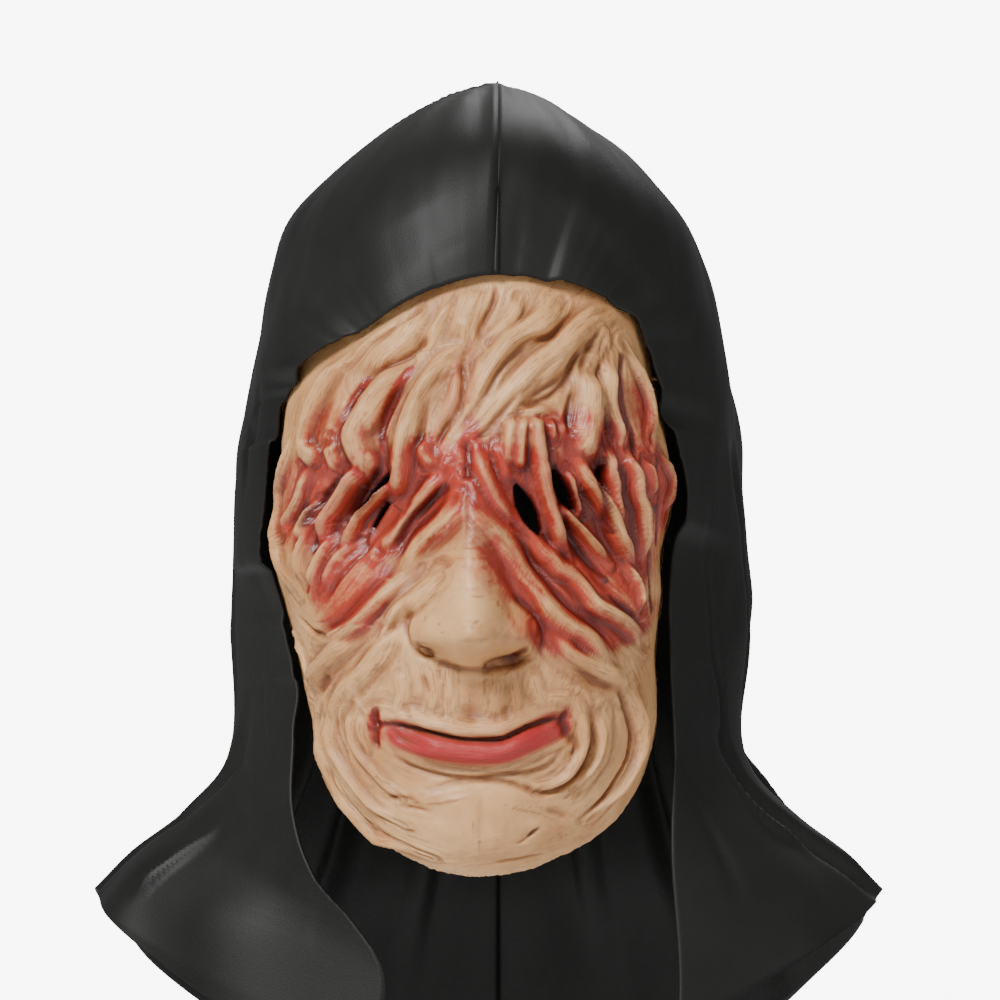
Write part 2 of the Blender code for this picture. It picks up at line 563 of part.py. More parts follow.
def hood_layout(name, side):
    """The grid of a panel in the hood's flat layout, where a point's distance from the middle is its
    length down from the crown and its direction is its turn from the front.

    The grid is spread between four sides: the seam over the crown, the front edge, the hem and the
    seam down the back.
    """
    columns, rows = HOOD_CELLS
    edge = front_edge(name, rows)
    table, lengths = ring_lengths()
    turn = np.arctan2(side * (edge[:, 0] - HOOD_SHIFT) / HOOD_WIDTH, -edge[:, 1] / HOOD_DEPTH)
    turn[0] = 0
    length = length_at(turn, -edge[:, 2])
    length = length * np.minimum(1, lengths[-1] / length[-1])
    length[-1] = lengths[-1]
    front = np.stack((length * np.cos(turn), length * np.sin(turn)), axis=-1)
    place = np.linspace(0, 1, columns)[:, None]
    down = np.linspace(0, 1, rows)[:, None]
    corner = np.array((-np.interp(SEAM_CORNER, np.arange(len(lengths)), lengths), 0))
    end = np.array((-lengths[-1], 0))
    seam = front[0] + (corner - front[0]) * place
    back = corner + (end - corner) * down
    hem_turn = turn[-1] + (np.pi - turn[-1]) * place[:, 0]
    hem = np.stack((lengths[-1] * np.cos(hem_turn), lengths[-1] * np.sin(hem_turn)), axis=-1)
    u, t = place[None, :, :], down[:, None, :]
    sides = (1 - u) * front[:, None] + u * back[:, None] + (1 - t) * seam[None] + t * hem[None]
    corners = (1 - u) * ((1 - t) * front[0] + t * front[-1]) + u * ((1 - t) * corner + t * end)
    swept_turn = turn[:, None] * (1 - u[..., 0]) + np.pi * u[..., 0]
    swept_length = length[:, None] * (1 - u[..., 0]) - back[:, None, 0] * u[..., 0]
    swept = np.stack((swept_length * np.cos(swept_turn), swept_length * np.sin(swept_turn)), axis=-1)
    low = np.clip(t / 0.45, 0, 1)
    low = low * low * (3 - 2 * low)
    return (sides - corners) * (1 - low) + swept * low, edge


def hood_folds(name, layout):
    """The height of the folds and furrows at places in the flat layout."""
    total = np.zeros(layout.shape[:-1])
    for _, start, middle, end, width, height in FOLDS[name]:
        path = curve_through(start, middle, end)
        turn = np.radians(path[:, 0])
        length = length_at(turn, path[:, 1] * HOOD_HEIGHT)
        flat = np.stack((length * np.cos(turn), length * np.sin(turn)), axis=-1)
        distance, share = distance_to(flat, layout[..., 0], layout[..., 1])
        taper = np.clip(3 * share, 0.2, 1) * np.clip(3 * (1 - share), 0.2, 1)
        total += height * FOLD_HEIGHT * taper * rounded(distance, width * HOOD_WIDTH / 2)
    return total


def make_hood_panel(name, side, material, collection):
    """One cloth panel: the plain form with its folds, drawn to the front edge, and given its wall."""
    columns, rows = HOOD_CELLS
    layout, edge = hood_layout(name, side)
    turn = np.arctan2(layout[..., 1], layout[..., 0])
    turn[:, -1] = np.pi
    turn[0] = np.where(layout[0, :, 0] > 0, 0, np.pi)
    length = np.hypot(layout[..., 0], layout[..., 1])
    form = hood_ring(turn, length)
    outward = normals_of(form)
    place = np.linspace(0, 1, columns)[None, :, None]
    near_edge = np.clip(1 - place / 0.3, 0, 1)
    near_edge = near_edge**2 * (3 - 2 * near_edge)
    at_seam = np.minimum(np.sin(turn) * 4, 1)[..., None]
    form = form + outward * hood_folds(name, layout)[..., None] * (1 - near_edge) * at_seam
    form[..., 0] = side * form[..., 0] + HOOD_SHIFT + SEAM_SHIFT * np.cos(turn) ** 2
    form = form + (edge - form[:, 0])[:, None] * near_edge
    seam = HOOD_SHIFT + SEAM_SHIFT + side * PIECE_GAP / 2
    form[0, :, 0] = seam
    form[:, -1, 0] = seam
    outward = normals_of(form) * side
    outward[0, -1] = outward[0, -2] + outward[1, -1]
    outward[0, :, 0] = 0
    outward[:, -1, 0] = 0
    outward /= np.linalg.norm(outward, axis=-1, keepdims=True)
    new_shell(name, form + outward * CLOTH, form, material, collection, flip=side < 0)


def make_material(name):
    """A plain material with one colour and roughness."""
    colour, roughness, metallic = FINISHES[name]
    material = bpy.data.materials.new(name)
    material.use_nodes = True
    shader = material.node_tree.nodes["Principled BSDF"]
    shader.inputs["Base Color"].default_value = (*colour, 1)
    shader.inputs["Roughness"].default_value = roughness
    shader.inputs["Metallic"].default_value = metallic
    material.diffuse_color = (*colour, 1)
    return material


def main():
    """Clear the scene and make the face and the two panels of the hood."""
    for old in list(bpy.data.objects):
        bpy.data.objects.remove(old, do_unlink=True)
    parts = bpy.data.collections.new("melted_face_mask")
    cutters = bpy.data.collections.new("cutters")
    for collection in (parts, cutters):
        bpy.context.scene.collection.children.link(collection)
    cutters.hide_render = True
    face = make_face(make_material("latex"), parts)
    make_slit_cutters(face, cutters)
    cloth = make_material("hood_cloth")
    make_hood_panel("hood_right", 1, cloth, parts)
    make_hood_panel("hood_left", -1, cloth, parts)


main()
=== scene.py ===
"""Melted face mask: the painted latex face, its cloth hood, and a plain stage around them."""

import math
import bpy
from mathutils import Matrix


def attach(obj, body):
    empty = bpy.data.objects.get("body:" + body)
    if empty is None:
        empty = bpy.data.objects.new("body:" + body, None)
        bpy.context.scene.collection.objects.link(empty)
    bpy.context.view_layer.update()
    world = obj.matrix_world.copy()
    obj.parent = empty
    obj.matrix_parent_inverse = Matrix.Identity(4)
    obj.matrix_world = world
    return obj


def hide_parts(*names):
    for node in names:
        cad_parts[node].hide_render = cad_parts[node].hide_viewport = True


bl_info = {
    "name": "Melted Face Mask",
    "version": (1, 0, 0),
    "blender": (4, 5, 0),
    "location": "3D Viewport > Sidebar > Mask",
    "description": "Builds a cast latex mask of melted strands with its cloth hood, in a shared frame",
    "category": "Add Mesh",
}

import bpy
import numpy as np

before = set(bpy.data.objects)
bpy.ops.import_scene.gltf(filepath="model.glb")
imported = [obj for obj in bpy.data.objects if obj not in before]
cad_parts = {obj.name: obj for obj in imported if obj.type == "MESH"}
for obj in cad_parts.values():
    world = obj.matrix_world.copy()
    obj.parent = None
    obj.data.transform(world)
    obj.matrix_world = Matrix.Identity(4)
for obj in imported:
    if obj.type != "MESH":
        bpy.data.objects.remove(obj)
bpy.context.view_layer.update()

# The photograph's frame: metres to a pixel at the face, the pixel column and row of the origin, the
# column of the face's middle and the picture's own middle; then the depth at which the scale holds and
# how far before it the camera stands
PIXEL = 0.00043
ORIGIN_COLUMN = 482
ORIGIN_ROW = 80
FACE_COLUMN = 475
PHOTO_MIDDLE = 500
FACE_PLANE = -0.09
CAMERA_DISTANCE = 6.0

# The face's middle, and how far before the origin its front lies
FACE_SHIFT = -0.003
FACE_DROP = 0.205
FACE_FORWARD = 0.118

# The outline and its edge, as in the part: a row for each turn from the wearer's left
OUTLINE = (
    # turn, reach, back, turn-in, round, hood edge
    (0, 0.96, 1.00, 1.20, 1.00, 1.10),
    (15, 1.02, 0.97, 1.05, 1.00, 1.10),
    (30, 1.02, 0.92, 0.90, 1.00, 1.08),
    (45, 1.02, 0.80, 0.70, 0.96, 1.02),
    (60, 1.10, 0.66, 0.45, 0.88, 0.95),
    (75, 1.05, 0.50, 0.25, 0.82, 0.885),
    (90, 1.00, 0.41, 0.20, 0.80, 0.865),
    (105, 1.02, 0.50, 0.25, 0.82, 0.835),
    (120, 1.05, 0.66, 0.45, 0.88, 0.86),
    (135, 1.07, 0.80, 0.70, 0.96, 0.94),
    (150, 1.03, 0.92, 0.90, 1.00, 1.08),
    (165, 1.00, 0.97, 1.05, 1.00, 1.10),
    (180, 1.01, 1.00, 1.20, 1.00, 1.10),
    (195, 0.96, 0.97, 1.10, 1.00, 1.10),
    (210, 0.93, 0.90, 1.00, 1.00, 1.12),
    (225, 0.96, 0.77, 0.90, 1.00, 1.15),
    (240, 1.00, 0.55, 0.80, 1.00, 1.20),
    (255, 0.99, 0.35, 0.70, 1.00, 1.25),
    (270, 0.99, 0.28, 0.65, 1.00, 1.25),
    (285, 1.03, 0.35, 0.70, 1.00, 1.25),
    (300, 1.09, 0.55, 0.80, 1.00, 1.20),
    (315, 1.06, 0.77, 0.90, 1.00, 1.15),
    (330, 0.96, 0.90, 1.00, 1.00, 1.12),
    (345, 0.94, 0.97, 1.10, 1.00, 1.10),
)

# The nose from the bridge down, as in the part
NOSE = (
    # level, half width, height
    (0.42, 0.14, 0.00),
    (0.20, 0.12, 0.16),
    (0.03, 0.14, 0.42),
    (-0.10, 0.18, 0.72),
    (-0.19, 0.23, 0.94),
    (-0.245, 0.25, 1.00),
    (-0.29, 0.25, 0.74),
    (-0.33, 0.24, 0.26),
    (-0.38, 0.22, 0.03),
    (-0.45, 0.20, 0.00),
)
NOSE_LINE = -0.015

# The other large forms: centre and half sizes in shares of half the face's width and height, and
# height as a share of the named size
SWELLINGS = (
    # name, across, up, half width, half height, height, size
    ("left eye hollow", -0.53, 0.13, 0.38, 0.20, -1.0, "socket"),
    ("right eye hollow", 0.57, 0.10, 0.42, 0.22, -1.0, "socket"),
    ("left cheek", -0.52, -0.28, 0.34, 0.24, 0.5, "lip"),
    ("right cheek", 0.52, -0.30, 0.30, 0.24, 0.4, "lip"),
    ("muzzle", -0.02, -0.52, 0.52, 0.24, 1.0, "lip"),
    ("chin", -0.02, -0.84, 0.40, 0.16, 1.3, "lip"),
    ("nose tip", 0.01, -0.215, 0.13, 0.075, 0.55, "lip"),
    ("left wing", -0.215, -0.235, 0.095, 0.060, 0.85, "lip"),
    ("right wing", 0.235, -0.235, 0.095, 0.060, 0.85, "lip"),
    ("left nostril", -0.225, -0.296, 0.055, 0.020, -1.5, "lip"),
    ("right nostril", 0.150, -0.318, 0.100, 0.022, -1.3, "lip"),
    ("below the lip", -0.02, -0.695, 0.40, 0.045, -0.35, "lip"),
)

# Strands and creases: their route over the photograph, their width in its pixels, their height in
# strand heights (a crease is negative), and the paint in and beside them. A pale one has none, and a
# lobe is a pale strand with a round lower end.
STRANDS = (
    # route, width, height, paint
    (((357, 347), (340, 361), (327, 383), (317, 403), (310, 424), (307, 447),
      (314, 456)), 22, 0.9, "lobe"),
    (((329, 444), (333, 458), (340, 470)), 16, 0.5, "pale"),
    (((366, 381), (351, 401), (346, 424), (337, 439)), 12, -0.3, "red"),
    (((421, 310), (403, 339), (389, 350), (379, 361), (369, 376)), 30, 0.6, "pale"),
    (((366, 379), (397, 363), (417, 350), (429, 333)), 9, -0.4, "brown_and_shade"),
    (((411, 361), (383, 391), (369, 413), (357, 433), (360, 450), (366, 462)), 28, 1.1, "lobe"),
    (((411, 370), (397, 394), (384, 424), (383, 449)), 10, -0.35, "red"),
    (((456, 350), (443, 363), (424, 391), (414, 413), (407, 434), (402, 456),
      (399, 484)), 20, 1.0, "lobe"),
    (((451, 369), (430, 393), (424, 414), (420, 439), (411, 459)), 9, -0.4, "brown_and_shade"),
    (((460, 370), (457, 394), (451, 413), (443, 427)), 14, 0.5, "flesh"),
    (((463, 356), (463, 396), (456, 414), (443, 433), (434, 451)), 8, -0.45, "brown_and_shade"),
    (((478, 287), (467, 313), (459, 341)), 26, 0.5, "pale"),
    (((495, 284), (494, 304), (481, 327), (479, 344)), 8, -0.35, "brown_and_shade"),
    (((471, 340), (464, 361), (462, 384), (461, 403), (451, 424), (440, 439)), 7, -0.4, "brown_and_shade"),
    (((470, 350), (471, 375), (469, 399)), 12, -0.2, "flesh"),
    (((559, 299), (549, 317), (531, 331), (511, 344), (500, 356), (489, 373), (480, 393), (469, 413),
      (464, 421)), 26, 0.85, "pale"),
    (((580, 309), (560, 327), (549, 337), (529, 341), (514, 354), (497, 373), (487, 391), (477, 407),
      (467, 423)), 9, -0.45, "brown_and_shade"),
    (((609, 310), (577, 331), (560, 350), (540, 364), (520, 384), (501, 406), (487, 420),
      (471, 431)), 24, 0.8, "pale"),
    (((521, 390), (503, 411), (491, 426), (480, 436), (471, 440)), 8, -0.4, "brown_and_shade"),
    (((466, 438), (468, 460), (468, 482)), 10, -0.4, "red"),
    (((583, 344), (573, 361), (566, 379), (554, 393), (540, 401), (526, 409),
      (517, 417)), 10, -0.45, "brown_and_shade"),
    (((517, 414), (530, 411), (540, 411), (549, 413)), 10, 0.5, "pale"),
    (((512, 416), (509, 435), (507, 458)), 12, 0.8, "lobe"),
    (((524, 414), (520, 435), (519, 462)), 12, 0.8, "lobe"),
    (((536, 414), (537, 440), (540, 458)), 15, 1.0, "lobe"),
    (((544, 419), (546, 446), (549, 460)), 6, -0.3, "red"),
    (((550, 421), (552, 432), (553, 441)), 9, 0.6, "flesh"),
    (((557, 419), (555, 430), (553, 439)), 6, -0.3, "brown_and_shade"),
    (((591, 370), (591, 399), (589, 421), (584, 446)), 27, 1.1, "lobe"),
    (((573, 391), (569, 413), (569, 434)), 8, -0.4, "brown_and_shade"),
    (((603, 356), (599, 381), (597, 399), (603, 416), (611, 437)), 8, -0.4, "brown_and_shade"),
    (((610, 356), (609, 384), (610, 406), (620, 434), (624, 453)), 14, 0.7, "pale"),
    (((621, 356), (621, 384), (626, 413), (633, 434), (633, 456)), 9, -0.35, "deep"),
    (((626, 344), (636, 370), (646, 399), (650, 420), (651, 441)), 15, 0.7, "pale"),
    (((605, 325), (607, 350)), 8, 0.3, "pale"),
    (((605, 325), (592, 345)), 8, 0.3, "pale"),
    (((368, 462), (349, 491), (340, 506), (331, 521), (320, 548)), 19, 1.3, "flesh"),
    (((396, 478), (374, 503), (363, 517), (357, 529), (340, 556)), 11, 1.2, "flesh"),
    (((437, 477), (424, 494), (411, 510)), 12, 0.7, "red"),
    (((410, 514), (400, 530), (389, 541), (380, 551)), 14, 0.8, "pale"),
    (((446, 487), (428, 504), (411, 521), (400, 541)), 10, -0.3, "deep"),
    (((459, 497), (453, 510), (439, 526), (420, 543), (410, 561), (397, 574)), 18, 0.9, "pale"),
    (((320, 500), (314, 513), (306, 530), (300, 544)), 14, 0.9, "pale"),
    (((324, 510), (321, 530), (314, 551)), 8, -0.3, "deep"),
    (((310, 500), (296, 516), (284, 529)), 8, -0.3, "red"),
    (((359, 541), (337, 559), (323, 587)), 12, 0.5, "flesh"),
    (((369, 541), (364, 551), (359, 561)), 7, -0.3, "brown_and_shade"),
    (((439, 576), (417, 597), (400, 611), (389, 630)), 16, 0.6, "pale"),
    (((414, 606), (405, 616), (397, 627)), 7, -0.3, "brown_and_shade"),
    (((538, 440), (541, 477), (544, 494), (551, 516), (557, 535), (566, 560)), 18, 1.4, "flesh"),
    (((530, 470), (534, 495), (541, 520), (549, 541)), 8, 0.4, "red"),
    (((549, 499), (560, 510), (571, 521), (583, 533), (597, 549), (610, 564)), 10, 0.9, "pale"),
    (((574, 440), (580, 473), (589, 487), (597, 499), (606, 516), (611, 530), (621, 547), (630, 561),
      (633, 574)), 18, 1.4, "pale"),
    (((564, 467), (571, 490), (579, 521)), 9, 0.9, "flesh"),
    (((608, 440), (609, 484), (610, 501), (620, 535)), 11, 1.1, "flesh"),
    (((626, 444), (630, 473), (631, 494), (637, 510), (639, 530), (641, 551),
      (641, 566)), 14, 1.2, "pale"),
    (((644, 459), (649, 480), (650, 499)), 12, 0.7, "red"),
    (((660, 451), (671, 480), (666, 516)), 14, 0.5, "pale"),
    (((617, 510), (624, 530), (631, 549)), 8, -0.3, "deep"),
    (((657, 459), (660, 501), (657, 544)), 8, -0.3, "deep"),
    (((514, 521), (529, 533), (540, 549), (549, 556), (557, 566), (569, 573), (581, 587), (593, 603),
      (610, 614), (631, 630), (646, 644)), 17, 0.9, "pale"),
    (((466, 487), (481, 510), (500, 533), (514, 556), (523, 573), (537, 590), (549, 607), (569, 626),
      (589, 640), (620, 682)), 20, 0.9, "pale"),
    (((520, 530), (534, 566), (551, 590), (574, 609), (600, 630), (611, 644)), 15, -0.3, "red"),
    (((569, 539), (586, 561), (603, 584), (617, 591)), 16, -0.3, "red"),
    (((606, 591), (624, 607), (644, 626)), 9, -0.35, "brown_and_shade"),
    (((621, 559), (636, 584), (641, 613)), 12, 0.6, "pale"),
    (((489, 530), (507, 547), (520, 573), (536, 591), (540, 606)), 7, -0.3, "brown_and_shade"),
    (((509, 594), (534, 613), (540, 627), (536, 644)), 9, -0.35, "brown_and_shade"),
    (((360, 630), (335, 652), (317, 672), (308, 685)), 19, 0.8, "pale"),
    (((330, 675), (324, 684), (318, 692)), 8, -0.35, "brown_and_shade"),
    (((387, 630), (378, 653), (360, 675), (347, 690), (335, 713), (338, 737)), 18, 0.6, "pale"),
    (((313, 713), (325, 767), (338, 792), (355, 812), (380, 835), (407, 848),
      (430, 857)), 17, 0.7, "pale"),
    (((322, 703), (318, 723), (323, 750), (330, 770), (343, 793), (363, 817),
      (387, 835)), 7, -0.4, "brown_and_shade"),
    (((333, 703), (330, 723), (335, 750), (347, 770), (363, 793), (380, 810),
      (405, 825)), 14, 0.6, "pale"),
    (((352, 690), (340, 707), (338, 727), (343, 747), (350, 763)), 7, -0.4, "brown_and_shade"),
    (((353, 703), (350, 727), (357, 750), (373, 770), (387, 787), (400, 797)), 12, 0.5, "pale"),
    (((363, 713), (360, 730), (367, 750)), 8, 0.4, "pale"),
    (((375, 702), (375, 727), (376, 752)), 13, -0.45, "brown_and_shade"),
    (((380, 716), (397, 718), (420, 721), (440, 726), (460, 730), (477, 731), (500, 730), (515, 724),
      (530, 717), (550, 712), (560, 712)), 22, 0.6, "pale"),
    (((380, 722), (397, 724), (420, 728), (440, 733), (460, 737), (477, 738), (500, 737), (515, 731),
      (530, 724), (550, 719), (562, 718)), 6, -1.0, "lipline"),
    (((402, 734), (425, 743), (450, 749), (477, 751), (503, 749), (528, 738),
      (552, 727)), 30, 0.9, "lip"),
    (((388, 743), (400, 758), (420, 768), (447, 775), (477, 777), (510, 773), (533, 770), (553, 760),
      (563, 743)), 8, -0.45, "brown_and_shade"),
    (((422, 793), (447, 783), (463, 780), (493, 779), (510, 782), (527, 788), (547, 792), (568, 783),
      (582, 765), (590, 743), (592, 723), (587, 703)), 8, -0.45, "brown_and_shade"),
    (((387, 797), (402, 797), (418, 800)), 7, -0.35, "brown_and_shade"),
    (((397, 805), (412, 807), (430, 810)), 7, -0.3, "brown_and_shade"),
    (((472, 674), (472, 700), (472, 728)), 20, -0.25, "pale"),
    (((425, 675), (428, 684), (432, 693)), 7, -0.3, "brown_and_shade"),
    (((403, 703), (407, 709), (411, 715)), 6, -0.25, "brown_and_shade"),
    (((500, 707), (505, 714), (510, 723)), 6, -0.25, "brown_and_shade"),
    (((568, 706), (563, 722), (570, 737), (577, 745), (568, 758)), 11, -0.45, "brown_and_shade"),
    (((577, 700), (583, 720), (583, 740), (577, 760), (563, 778), (540, 788)), 13, 0.6, "pale"),
    (((597, 713), (602, 733), (597, 757), (587, 773), (573, 788)), 12, 0.6, "pale"),
    (((605, 710), (608, 733), (605, 757), (593, 775), (577, 795)), 9, 0.4, "pale"),
    (((605, 687), (620, 692), (628, 713), (632, 733), (628, 757), (617, 778), (602, 800),
      (583, 817)), 9, -0.5, "brown_and_shade"),
    (((627, 685), (637, 707), (640, 733), (635, 758), (623, 782), (607, 802),
      (590, 817)), 14, 0.7, "pale"),
    (((647, 703), (647, 737), (638, 763), (628, 783), (610, 808), (593, 825)), 7, -0.4, "brown_and_shade"),
    (((547, 625), (568, 653), (593, 667), (620, 682), (627, 690)), 19, 0.7, "pale"),
    (((540, 630), (560, 653), (580, 668), (600, 683), (620, 687), (623, 695)), 9, -0.45, "brown_and_shade"),
    (((480, 790), (481, 815), (479, 840)), 8, -0.15, "pale"),
    (((547, 808), (557, 812), (567, 818)), 8, -0.25, "brown_and_shade"),
    (((529, 835), (537, 828)), 6, -0.4, "deep"),
    (((529, 835), (517, 843)), 5, -0.25, "brown_and_shade"),
    (((493, 862), (518, 858), (543, 853)), 8, -0.3, "brown_and_shade"),
    # Painted shade under the nose: brown strokes in the wing creases and along its underside, and deep dark
    # in the nostrils, where a shadow falls
    (((413, 606), (407, 626), (411, 643), (423, 652)), 8, -0.45, "brown_and_shade"),
    (((423, 653), (440, 661), (458, 667), (477, 669), (500, 667), (520, 661),
      (538, 650)), 9, -0.5, "brown_and_shade"),
    (((524, 604), (539, 620), (544, 636), (538, 650)), 8, -0.45, "brown_and_shade"),
    (((486, 665), (505, 659), (524, 650)), 9, -0.7, "deep"),
    (((420, 645), (426, 649), (433, 652)), 8, -0.6, "deep"),
    (((297, 409), (286, 460), (279, 493), (276, 530), (282, 573), (297, 594)), 15, 0.6, "pale"),
    (((310, 460), (302, 493), (288, 519), (280, 541)), 14, 0.6, "pale"),
    (((321, 506), (306, 541), (299, 562), (303, 584)), 12, 0.7, "pale"),
    (((337, 530), (318, 562), (310, 589)), 13, 0.7, "pale"),
    (((330, 536), (313, 566), (306, 592)), 6, -0.35, "red"),
    (((377, 541), (358, 557), (340, 578), (324, 602)), 8, -0.35, "red"),
    (((415, 568), (391, 589), (372, 608), (350, 629), (316, 647)), 17, 0.8, "pale"),
    (((409, 602), (391, 629), (372, 648), (350, 675)), 8, -0.4, "brown_and_shade"),
    (((399, 621), (377, 648), (358, 675), (348, 699)), 13, 0.6, "pale"),
    (((297, 616), (313, 632), (337, 637)), 8, -0.4, "brown_and_shade"),
    (((295, 640), (306, 660), (312, 690)), 14, 0.5, "pale"),
    (((656, 508), (650, 551), (653, 610)), 12, -0.35, "deep"),
    (((444, 470), (430, 490), (408, 520), (392, 545)), 12, 0.8, "flesh"),
    (((420, 440), (424, 456), (436, 468)), 12, 0.5, "pale"),
    (((480, 445), (484, 470), (500, 505), (520, 525)), 14, 0.7, "flesh"),
    (((494, 440), (505, 470), (508, 484)), 10, 0.5, "flesh"),
    (((600, 440), (604, 470), (610, 510), (622, 535)), 9, 0.8, "flesh"),
    (((586, 470), (596, 500), (604, 530)), 8, -0.5, "deep"),
    (((546, 460), (556, 480), (564, 505)), 8, -0.4, "deep"),
    (((380, 470), (366, 492), (350, 520)), 8, -0.4, "deep"),
    (((340, 480), (322, 500), (312, 525)), 9, -0.45, "deep"),
    (((560, 520), (580, 550), (606, 580)), 10, -0.5, "deep"),
    (((462, 528), (476, 530), (490, 527)), 4, -0.14, "pale"),
    (((460, 545), (476, 547), (492, 544)), 4, -0.12, "pale"),
    (((459, 565), (476, 567), (494, 564)), 4, -0.12, "pale"),
    (((458, 586), (476, 588), (495, 585)), 4, -0.10, "pale"),
    (((500, 590), (508, 604), (512, 620)), 5, -0.2, "brown_and_shade"),
    (((430, 670), (434, 690), (430, 712)), 8, 0.25, "pale"),
    (((448, 668), (450, 690), (448, 716)), 9, 0.3, "pale"),
    (((494, 672), (494, 694), (497, 716)), 9, 0.3, "pale"),
    (((514, 672), (516, 690), (520, 712)), 8, 0.25, "pale"),
    (((400, 668), (404, 690), (396, 714)), 8, 0.25, "pale"),
    (((532, 672), (538, 690), (545, 706)), 8, 0.3, "pale"),
    (((452, 300), (440, 322), (424, 345)), 12, 0.4, "pale"),
    (((520, 296), (512, 318), (490, 345)), 14, 0.5, "pale"),
    (((540, 322), (515, 338)), 6, -0.3, "brown_and_shade"),
    (((585, 335), (570, 350), (552, 372), (530, 388)), 12, 0.6, "pale"),
    (((560, 375), (548, 386), (530, 398)), 6, -0.3, "brown_and_shade"),
    (((430, 300), (402, 325), (372, 345)), 7, -0.3, "brown_and_shade"),
    (((405, 318), (375, 338), (350, 362)), 14, 0.5, "pale"),
    (((600, 330), (588, 350), (580, 372)), 8, -0.35, "brown_and_shade"),
)

# Broad washes of thinned paint under the strands, and painted shade in the nostrils, under the nose and on
# its right side: centre and half sizes in the photograph's pixels, strength, and the paint
WASHES = (
    # column, row, half width, half height, strength, paint
    (372, 505, 84, 66, 1.0, "red"),
    (425, 475, 50, 46, 1.0, "red"),
    (346, 590, 40, 58, 0.9, "red"),
    (310, 500, 34, 70, 0.8, "red"),
    (560, 500, 84, 62, 1.0, "red"),
    (590, 560, 74, 66, 1.0, "red"),
    (640, 500, 34, 96, 1.0, "red"),
    (610, 620, 52, 40, 0.8, "red"),
    (500, 475, 44, 40, 0.9, "red"),
    (335, 430, 40, 44, 0.55, "red"),
    (388, 400, 22, 50, 0.45, "red"),
    (634, 420, 18, 60, 0.8, "red"),
    (470, 450, 14, 40, 0.8, "red"),
    (458, 390, 12, 40, 0.35, "red"),
    (600, 440, 60, 34, 0.7, "red"),
    (536, 440, 50, 30, 0.5, "red"),
    (472, 745, 92, 30, 0.45, "flesh"),
    (375, 728, 10, 28, 0.8, "red"),
    (567, 722, 9, 22, 0.6, "red"),
    # Painted shade: deep dark in the nostrils and brown under the nose
    (428, 649, 10, 5, 1.0, "deep"),
    (505, 658, 20, 4, 0.9, "deep"),
    (505, 655, 44, 14, 0.6, "brown_and_shade"),
    (472, 702, 14, 30, 0.6, "brown_and_shade"),
    (430, 690, 26, 30, 0.35, "brown_and_shade"),
    (512, 700, 22, 24, 0.3, "brown_and_shade"),
    # Painted shade on the nose's right side, away from the light
    (530, 640, 18, 24, 0.5, "brown_and_shade"),
    (300, 600, 18, 60, 0.6, "brown_and_shade"),
    (330, 740, 30, 60, 0.35, "brown_and_shade"),
    (620, 740, 34, 60, 0.45, "brown_and_shade"),
    (470, 790, 90, 12, 0.35, "brown_and_shade"),
    (470, 860, 110, 18, 0.5, "brown_and_shade"),
    (300, 430, 20, 60, 0.4, "brown_and_shade"),
    (540, 340, 90, 40, 0.35, "brown_and_shade"),
    (590, 400, 50, 60, 0.35, "brown_and_shade"),
    (400, 370, 60, 40, 0.3, "brown_and_shade"),
)

# The slits, cut right through: three points over the photograph and the greatest width in its pixels
SLITS = (
    # start, middle, end, width
    ((394, 470), (370, 500), (350, 521), 13),
    ((390, 500), (378, 519), (368, 538), 7),
    ((514, 482), (524, 504), (540, 536), 20),
    ((554, 466), (560, 487), (572, 511), 14),
    ((601, 460), (597, 478), (599, 495), 10),
)

# The hood's level rings from the crown down, as in the part: half width as a share of the hood's width,
# reach to the front and back as shares of its depth, and how far down as shares of its height
RINGS = (
    # half width, front, back, side drop, front drop, back drop
    (0.00, 0.00, 0.00, 0.000, 0.000, 0.000),
    (0.20, 0.24, 0.22, 0.044, 0.022, 0.027),
    (0.31, 0.37, 0.36, 0.089, 0.067, 0.078),
    (0.385, 0.43, 0.45, 0.133, 0.122, 0.144),
    (0.42, 0.455, 0.485, 0.178, 0.178, 0.200),
    (0.455, 0.47, 0.515, 0.256, 0.267, 0.278),
    (0.495, 0.48, 0.520, 0.389, 0.389, 0.411),
    (0.505, 0.48, 0.505, 0.522, 0.522, 0.533),
    (0.525, 0.48, 0.480, 0.667, 0.667, 0.667),
    (0.60, 0.465, 0.475, 0.707, 0.767, 0.767),
    (0.71, 0.48, 0.515, 0.751, 0.878, 0.878),
    (0.76, 0.50, 0.550, 0.778, 0.956, 1.000),
)

# Each panel's front edge from the forehead down, as in the part: turn about the face's centre, reach as
# a share of the face's outline, and how far back it lies as a share of the face's depth
FRONT_EDGES = {
    "hood_right": (
        # turn, reach, back
        (87, 0.865, 0.30),
        (72, 0.885, 0.40),
        (62, 0.94, 0.55),
        (52, 0.99, 0.75),
        (41, 1.005, 0.86),
        (22, 1.01, 0.95),
        (4, 1.01, 0.98),
        (-13, 1.03, 0.95),
        (-27, 1.07, 0.90),
        (-44, 1.10, 0.78),
        (-57, 1.25, 0.55),
        (-67, 1.68, 0.32),
    ),
    "hood_left": (
        # turn, reach, back
        (87, 0.865, 0.30),
        (103, 0.830, 0.40),
        (117, 0.85, 0.55),
        (130, 0.92, 0.75),
        (143, 1.00, 0.88),
        (160, 1.01, 0.97),
        (180, 1.01, 0.98),
        (200, 1.01, 0.96),
        (222, 1.05, 0.84),
        (234, 1.18, 0.66),
        (243, 1.24, 0.52),
        (252, 1.27, 0.42),
        (258, 1.38, 0.34),
        (258, 1.72, 0.28),
    ),
}

